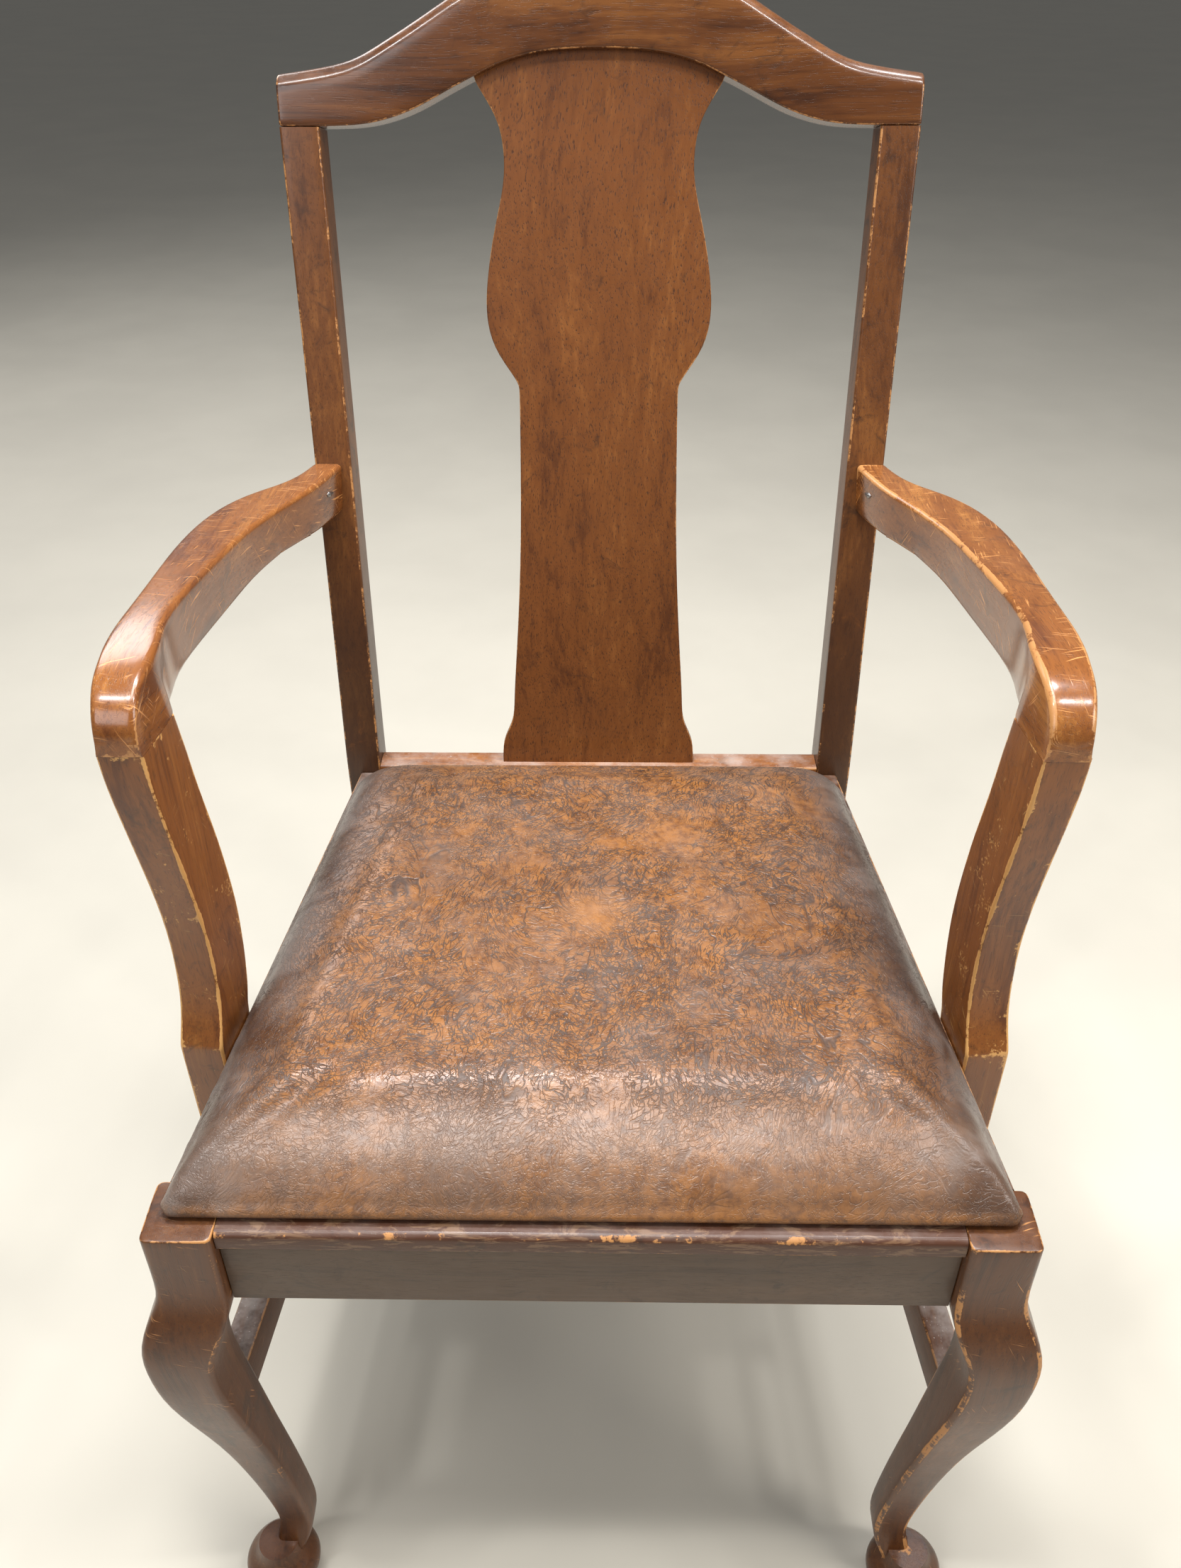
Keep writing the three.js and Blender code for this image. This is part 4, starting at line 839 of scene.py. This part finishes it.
def vinyl_finish():
    """Brown embossed vinyl, rubbed in the middle, with painted shade in its creases and down its
    sides, which dust greys.
    """
    material, tree, shader, place = new_material("embossed vinyl")
    across, along, height_up = parts_of(tree, place)
    depth = minus(tree, along, FRONT)
    mottle = noise(tree, place, 150, 4, 0.7)
    cloud = noise(tree, place, 13, 3, 0.6, 0.5)
    # mottled ground, with a patch in the middle where the creases are rubbed away
    color = lay(tree, fade(tree, mottle, 0.32, 0.64), (0.140, 0.050, 0.0130),
                (0.300, 0.120, 0.0300))
    color = lay(tree, times(tree, fade(tree, cloud, 0.45, 0.70), 0.55), color,
                (0.115, 0.055, 0.030))
    middle_of_seat = node(tree, "VectorMath", {0: place, 1: (0.0, FRONT + 0.225, 0.477)},
                          operation="DISTANCE").outputs["Value"]
    patch = fade(tree, middle_of_seat, 0.034, 0.004)
    color = lay(tree, times(tree, patch, 0.40), color, (0.42, 0.18, 0.050))
    creases = times(tree, vinyl_creases(tree, place), minus(tree, 1.0, times(tree, patch, 0.8)),
                    fade(tree, depth, 0.045, 0.085, 0.45, 1))
    # painted shade: the creases are darkened nearly to black
    color = lay(tree, times(tree, creases, 0.84), color, (0.026, 0.012, 0.007))
    # the sides, darkened with painted shade, and the front slope
    half_width = plus(tree, 0.2453, times(tree, depth, -0.110))
    inside = minus(tree, half_width, calc(tree, "ABSOLUTE", across))
    ragged = plus(tree, inside, times(tree, minus(tree, cloud, 0.5), 0.06))
    side = fade(tree, ragged, 0.066, 0.010)
    # painted shade: the sides of the cover are darkened toward a dark brown
    color = lay(tree, times(tree, side, 0.88), color, (0.046, 0.023, 0.016))
    slope = times(tree, fade(tree, depth, 0.085, 0.045), fade(tree, cloud, 0.25, 0.6, 0.45, 1))
    color = lay(tree, times(tree, slope, 0.55), color, (0.130, 0.078, 0.050))
    # a rubbed line low along the front edge
    band = times(tree, fade(tree, height_up, 0.4490, 0.4455), fade(tree, height_up, 0.4395, 0.4415),
                 fade(tree, depth, 0.030, 0.020), fade(tree, mottle, 0.3, 0.6))
    color = lay(tree, times(tree, band, 0.35), color, (0.30, 0.120, 0.028))
    cut = mask(tree, SCRATCHED, place, 0.22)
    color = lay(tree, times(tree, cut, 0.5), color, (0.55, 0.42, 0.32))
    powder = times(tree, side, fade(tree, cloud, 0.42, 0.62), 0.22)
    film = most(tree, mask(tree, DUSTED, place, 0.10), powder)
    plug(tree, shader.inputs["Base Color"], lay(tree, film, color, (0.55, 0.50, 0.46)))
    gloss = plus(tree, plus(tree, 0.20, times(tree, cloud, 0.18)), times(tree, creases, 0.2))
    plug(tree, shader.inputs["Roughness"], gloss)
    shader.inputs["Specular IOR Level"].default_value = 0.5
    pebble = times(tree, noise(tree, place, 700, 2, 0.6), 0.35)
    height = plus(tree, minus(tree, pebble, creases), times(tree, mottle, 0.5))
    relief(tree, shader, height, 0.6, 0.0006)
    return material


def plain_finish(name, color, rough, metal=0.0, scale=300, vary=0.3):
    """A simple surface whose tone and gloss vary a little."""
    material, tree, shader, place = new_material(name)
    cloud = noise(tree, place, scale, 4, 0.6)
    dark = tuple(c * (1 - vary) for c in color)
    plug(tree, shader.inputs["Base Color"], lay(tree, fade(tree, cloud, 0.3, 0.7), dark, color))
    plug(tree, shader.inputs["Roughness"],
         fade(tree, cloud, 0.2, 0.8, rough - 0.07, rough + 0.07))
    shader.inputs["Metallic"].default_value = metal
    relief(tree, shader, cloud, 0.2, 0.0002)
    return material


vinyl = vinyl_finish()
steel = plain_finish("dull steel", (0.42, 0.41, 0.40), 0.38, 1.0, 900)
cambric = plain_finish("black cambric", (0.022, 0.021, 0.020), 0.92, 0.0, 1400)


# ---- the slip seat -------------------------------------------------------------------------------
def seat_cover():
    """Vinyl stretched over stuffing: full in the middle, falling away to a thin edge."""
    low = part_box("seat_cover")[0].z
    near, far, width = FRONT + 0.0120, FRONT + 0.4385, 0.4884
    rear_share = 0.8065  # width at the back over width at the front
    half_way = (near + far) / 2
    # height, then how far the front, the sides and the back have come in
    levels = [
        (low, 0, 0, 0), (low + 0.0075, 0, 0, 0), (low + 0.0145, 0.0030, 0.0022, 0.0020),
        (low + 0.0215, 0.0100, 0.0065, 0.0050), (low + 0.0285, 0.0215, 0.0140, 0.0100),
        (low + 0.0350, 0.0370, 0.0260, 0.0180), (low + 0.0390, 0.0540, 0.0420, 0.0300),
        (low + 0.0404, 0.0800, 0.0700, 0.0600), (low + 0.0408, 0.1200, 0.1100, 0.1000),
    ]
    draw_stock("Z", [((0, (near + front + far - back) / 2, z), width - 2 * side,
                      far - back - near - front) for z, front, side, back in levels])
    true_up()
    pick("VERT", lambda v: v.co.y > half_way)
    bpy.ops.transform.resize(value=(rear_share, 1, 1), center_override=(0, 0, 0))

    def corner(edge):
        return abs(run(edge).z) > 0.05 and edge.calc_face_angle(0) > 0.2

    soften(0.020, 5, lambda e: corner(e) and middle(e).y > half_way, least=10)
    soften(0.006, 3, lambda e: corner(e) and middle(e).y < half_way, least=10)
    seat = release("seat_pad")
    finish_pad(seat, low)
    return seat


def finish_pad(seat, low):
    """Evens the mesh, swells it under pressure, caps how far it moved and smooths it."""
    def apply(kind, **settings):
        modifier = seat.modifiers.new("work", kind)
        for key, value in settings.items():
            setattr(modifier, key, value)
        bpy.ops.object.modifier_apply(modifier=modifier.name)

    def group(name, test):
        chosen = seat.vertex_groups.new(name=name)
        chosen.add([v.index for v in seat.data.vertices if test(v.co.z)], 1.0, "REPLACE")
        return name

    edge_top = low + 0.0080
    apply("REMESH", mode="VOXEL", voxel_size=0.0045)
    crown = group("crown", lambda z: z > edge_top)
    apply("SMOOTH", factor=0.5, iterations=10, vertex_group=crown)
    swell(seat, group("tacked", lambda z: z < edge_top))
    rim = group("rim", lambda z: z > low + 0.0030)
    apply("SMOOTH", factor=0.5, iterations=5, vertex_group=rim)
    seat.vertex_groups.clear()
    apply("SUBSURF", levels=1, render_levels=1)
    bpy.ops.object.shade_smooth()


def swell(seat, tacked, frames=20, cap=0.0045):
    """Lets the cover swell under pressure for some frames, tacked down along its edge."""
    start = [v.co.copy() for v in seat.data.vertices]
    modifier = seat.modifiers.new("stretch", "CLOTH")
    settings = modifier.settings
    settings.use_pressure, settings.uniform_pressure_force = True, 4
    settings.effector_weights.gravity = 0
    settings.vertex_group_mass = tacked
    settings.quality = 6
    scene = bpy.context.scene
    for step in range(1, frames + 1):
        scene.frame_set(step)
    bpy.ops.object.modifier_apply(modifier=modifier.name)
    for vertex, was in zip(seat.data.vertices, start):
        moved = vertex.co - was
        if moved.length > cap:
            vertex.co = was + moved * (cap / moved.length)
    scene.frame_set(1)


def seat_board():
    """Plywood board inside the cover, with eased arrises, clear of the cover's rounded edge."""
    low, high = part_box("seat_board")[0].z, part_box("seat_board")[1].z - 0.0035

    def width(back):
        return 2 * (0.2345 - SEAT_TAPER * (back - 0.012))

    draw_stock("Y", [((0, FRONT + back, (low + high) / 2), width(back), high - low)
                     for back in (0.0225, 0.10, 0.25, 0.35, 0.4290)])
    true_up()
    soften(0.024, 4, lambda e: abs(run(e).z) > 0.9 and middle(e).y > FRONT + 0.4)
    soften(0.0015, 2)
    return release("plywood_board")


def dust_cloth():
    """Woven cloth under the seat, pulled flat, with a little slack in its middle."""
    near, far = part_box("seat_dust_cloth")
    length = far.y - near.y
    centre = (0, (near.y + far.y) / 2, near.z + 0.00035)
    columns, rows = 28, 26
    clear_bench()
    bpy.ops.mesh.primitive_grid_add(x_subdivisions=columns, y_subdivisions=rows, size=1,
                                    location=centre)
    open_up()
    bpy.ops.transform.resize(value=(far.x - near.x, length, 1), center_override=centre)
    for row in range(rows + 1):
        back = row / rows * length
        pick("VERT", lambda v: abs(v.co.y - near.y - back) < 1e-4)
        bpy.ops.transform.resize(value=(1 - SEAT_TAPER * back / far.x, 1, 1),
                                 center_override=(0, 0, 0))
    for row in range(4, rows, 5):
        pick("VERT", lambda v: abs(v.co.y - near.y - row / rows * length) < 1e-4 and
             abs(v.co.x) < 0.15)
        bpy.ops.transform.translate(value=(0, 0, -0.0002))
    cloth = release("dust_cloth")
    modifier = cloth.modifiers.new("weave", "SOLIDIFY")
    modifier.thickness, modifier.offset = 0.0004, 0
    bpy.ops.object.modifier_apply(modifier=modifier.name)
    modifier = cloth.modifiers.new("surface", "SUBSURF")
    modifier.levels = modifier.render_levels = 1
    bpy.ops.object.modifier_apply(modifier=modifier.name)
    bpy.ops.object.shade_smooth()
    return cloth


# ---- the chair put together ----------------------------------------------------------------------
hand_over(seat_board(), raw_finish, "plain_wood", "seat_board")
cloth = hand_over(dust_cloth(), cambric, "dust_cloth", "seat_dust_cloth")
cover = hand_over(seat_cover(), vinyl, "vinyl", "seat_cover", "seat_padding")

pair(front_leg(), leg_finish, "front_leg", leg_finish_left)
pair(rear_post(), post_finish, "rear_post")
pair(side_rail(), side_finish, "side_seat_rail")
pair(side_stretcher(), stretcher_finish, "side_stretcher")
pair(arm_post(), arm_post_finish, "arm_post")
pair(arm(), arm_finish, "arm", arm_finish_left)
hand_over(crest_rail(), crest_finish, "frame_wood", "crest_rail")
hand_over(back_splat(), splat_finish, "splat_wood", "back_splat")
hand_over(front_rail(), rail_finish, "frame_wood", "front_seat_rail")
hand_over(middle_stretcher(), cross_finish, "frame_wood", "cross_stretcher")
hand_over(rear_rail(), rear_finish, "frame_wood", "rear_seat_rail")

# screws, glides, dowels and corner blocks keep the frame's own solids
for name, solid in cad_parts.items():
    if not solid.hide_render:
        solid.data.materials.clear()
        solid.data.materials.append(steel if "screw" in name or "glide" in name else raw_finish)


# ---- camera, floor and light -------------------------------------------------------------------
def aim_camera(place, yaw, pitch, roll, lens):
    """A camera that first looks along +Y, then turns by three angles in radians."""
    ahead = Vector((math.sin(yaw) * math.cos(pitch), math.cos(yaw) * math.cos(pitch),
                    math.sin(pitch)))
    right = Vector((math.cos(yaw), -math.sin(yaw), 0))
    up = right.cross(ahead)
    turned = Matrix((
        math.cos(roll) * right + math.sin(roll) * up,
        math.cos(roll) * up - math.sin(roll) * right,
        -ahead,
    )).transposed().to_4x4()
    data = bpy.data.cameras.new("camera")
    data.sensor_width = 36
    data.lens = lens
    camera = bpy.data.objects.new("camera", data)
    camera.matrix_world = Matrix.Translation(place) @ turned
    bpy.context.scene.collection.objects.link(camera)
    bpy.context.scene.camera = camera


def lamp(name, place, aim, size, power, color=(1, 1, 1)):
    """A square area lamp at a place, aimed at another."""
    data = bpy.data.lights.new(name, "AREA")
    data.shape, data.size, data.energy, data.color = "SQUARE", size, power, color
    light = bpy.data.objects.new(name, data)
    light.location = place
    light.rotation_euler = (Vector(aim) - Vector(place)).to_track_quat("-Z", "Y").to_euler()
    bpy.context.scene.collection.objects.link(light)


# before the chair and a little higher than its back, looking down at it
aim_camera((0.01015, FRONT - 0.41906, 1.05657), yaw=-0.0188686, pitch=-0.6262426,
           roll=-0.0054736, lens=29.1639385)
clear_bench()
bpy.ops.mesh.primitive_plane_add(size=90, location=(0, 20, -0.0005))
floor = bpy.context.object
floor.name = "floor"
floor.data.materials.append(plain_finish("pale floor", (0.66, 0.62, 0.53), 0.7, 0.0, 3, 0.05))
lamp("overhead", (-0.1, -0.25, 2.5), (-0.1, -0.25, 0.4), 0.8, 24, (1, 0.98, 0.95))
lamp("strip", (-0.25, 0.42, 2.5), (-0.05, -0.15, 0.47), 0.36, 32, (0.97, 0.98, 1))
lamp("strip_right", (0.55, 0.42, 2.5), (0.05, -0.15, 0.47), 0.36, 17, (0.97, 0.98, 1))
lamp("front_fill", (-1.3, -2.0, 2.1), (0, 0, 0.4), 1.2, 17, (0.95, 0.97, 1))
lamp("side_fill", (1.9, -0.9, 1.7), (0, 0, 0.5), 1.0, 24, (1, 0.96, 0.91))
lamp("back_fill", (-1.6, 2.4, 2.2), (0, 0.6, 0.3), 1.2, 22)
for number, (x, y) in enumerate(((-0.9, -0.5), (-0.65, -0.5), (0.75, -0.45), (1.0, -0.45))):
    lamp("spot_%d" % number, (x, y, 2.3), (0, -0.2, 0.6), 0.10, 4.5)
world = bpy.data.worlds.new("studio")
world.use_nodes = True
sky = world.node_tree.nodes["Background"].inputs
sky["Color"].default_value = (0.85, 0.87, 0.9, 1)
sky["Strength"].default_value = 0.17
bpy.context.scene.world = world
bpy.context.scene.view_settings.view_transform = "Standard"
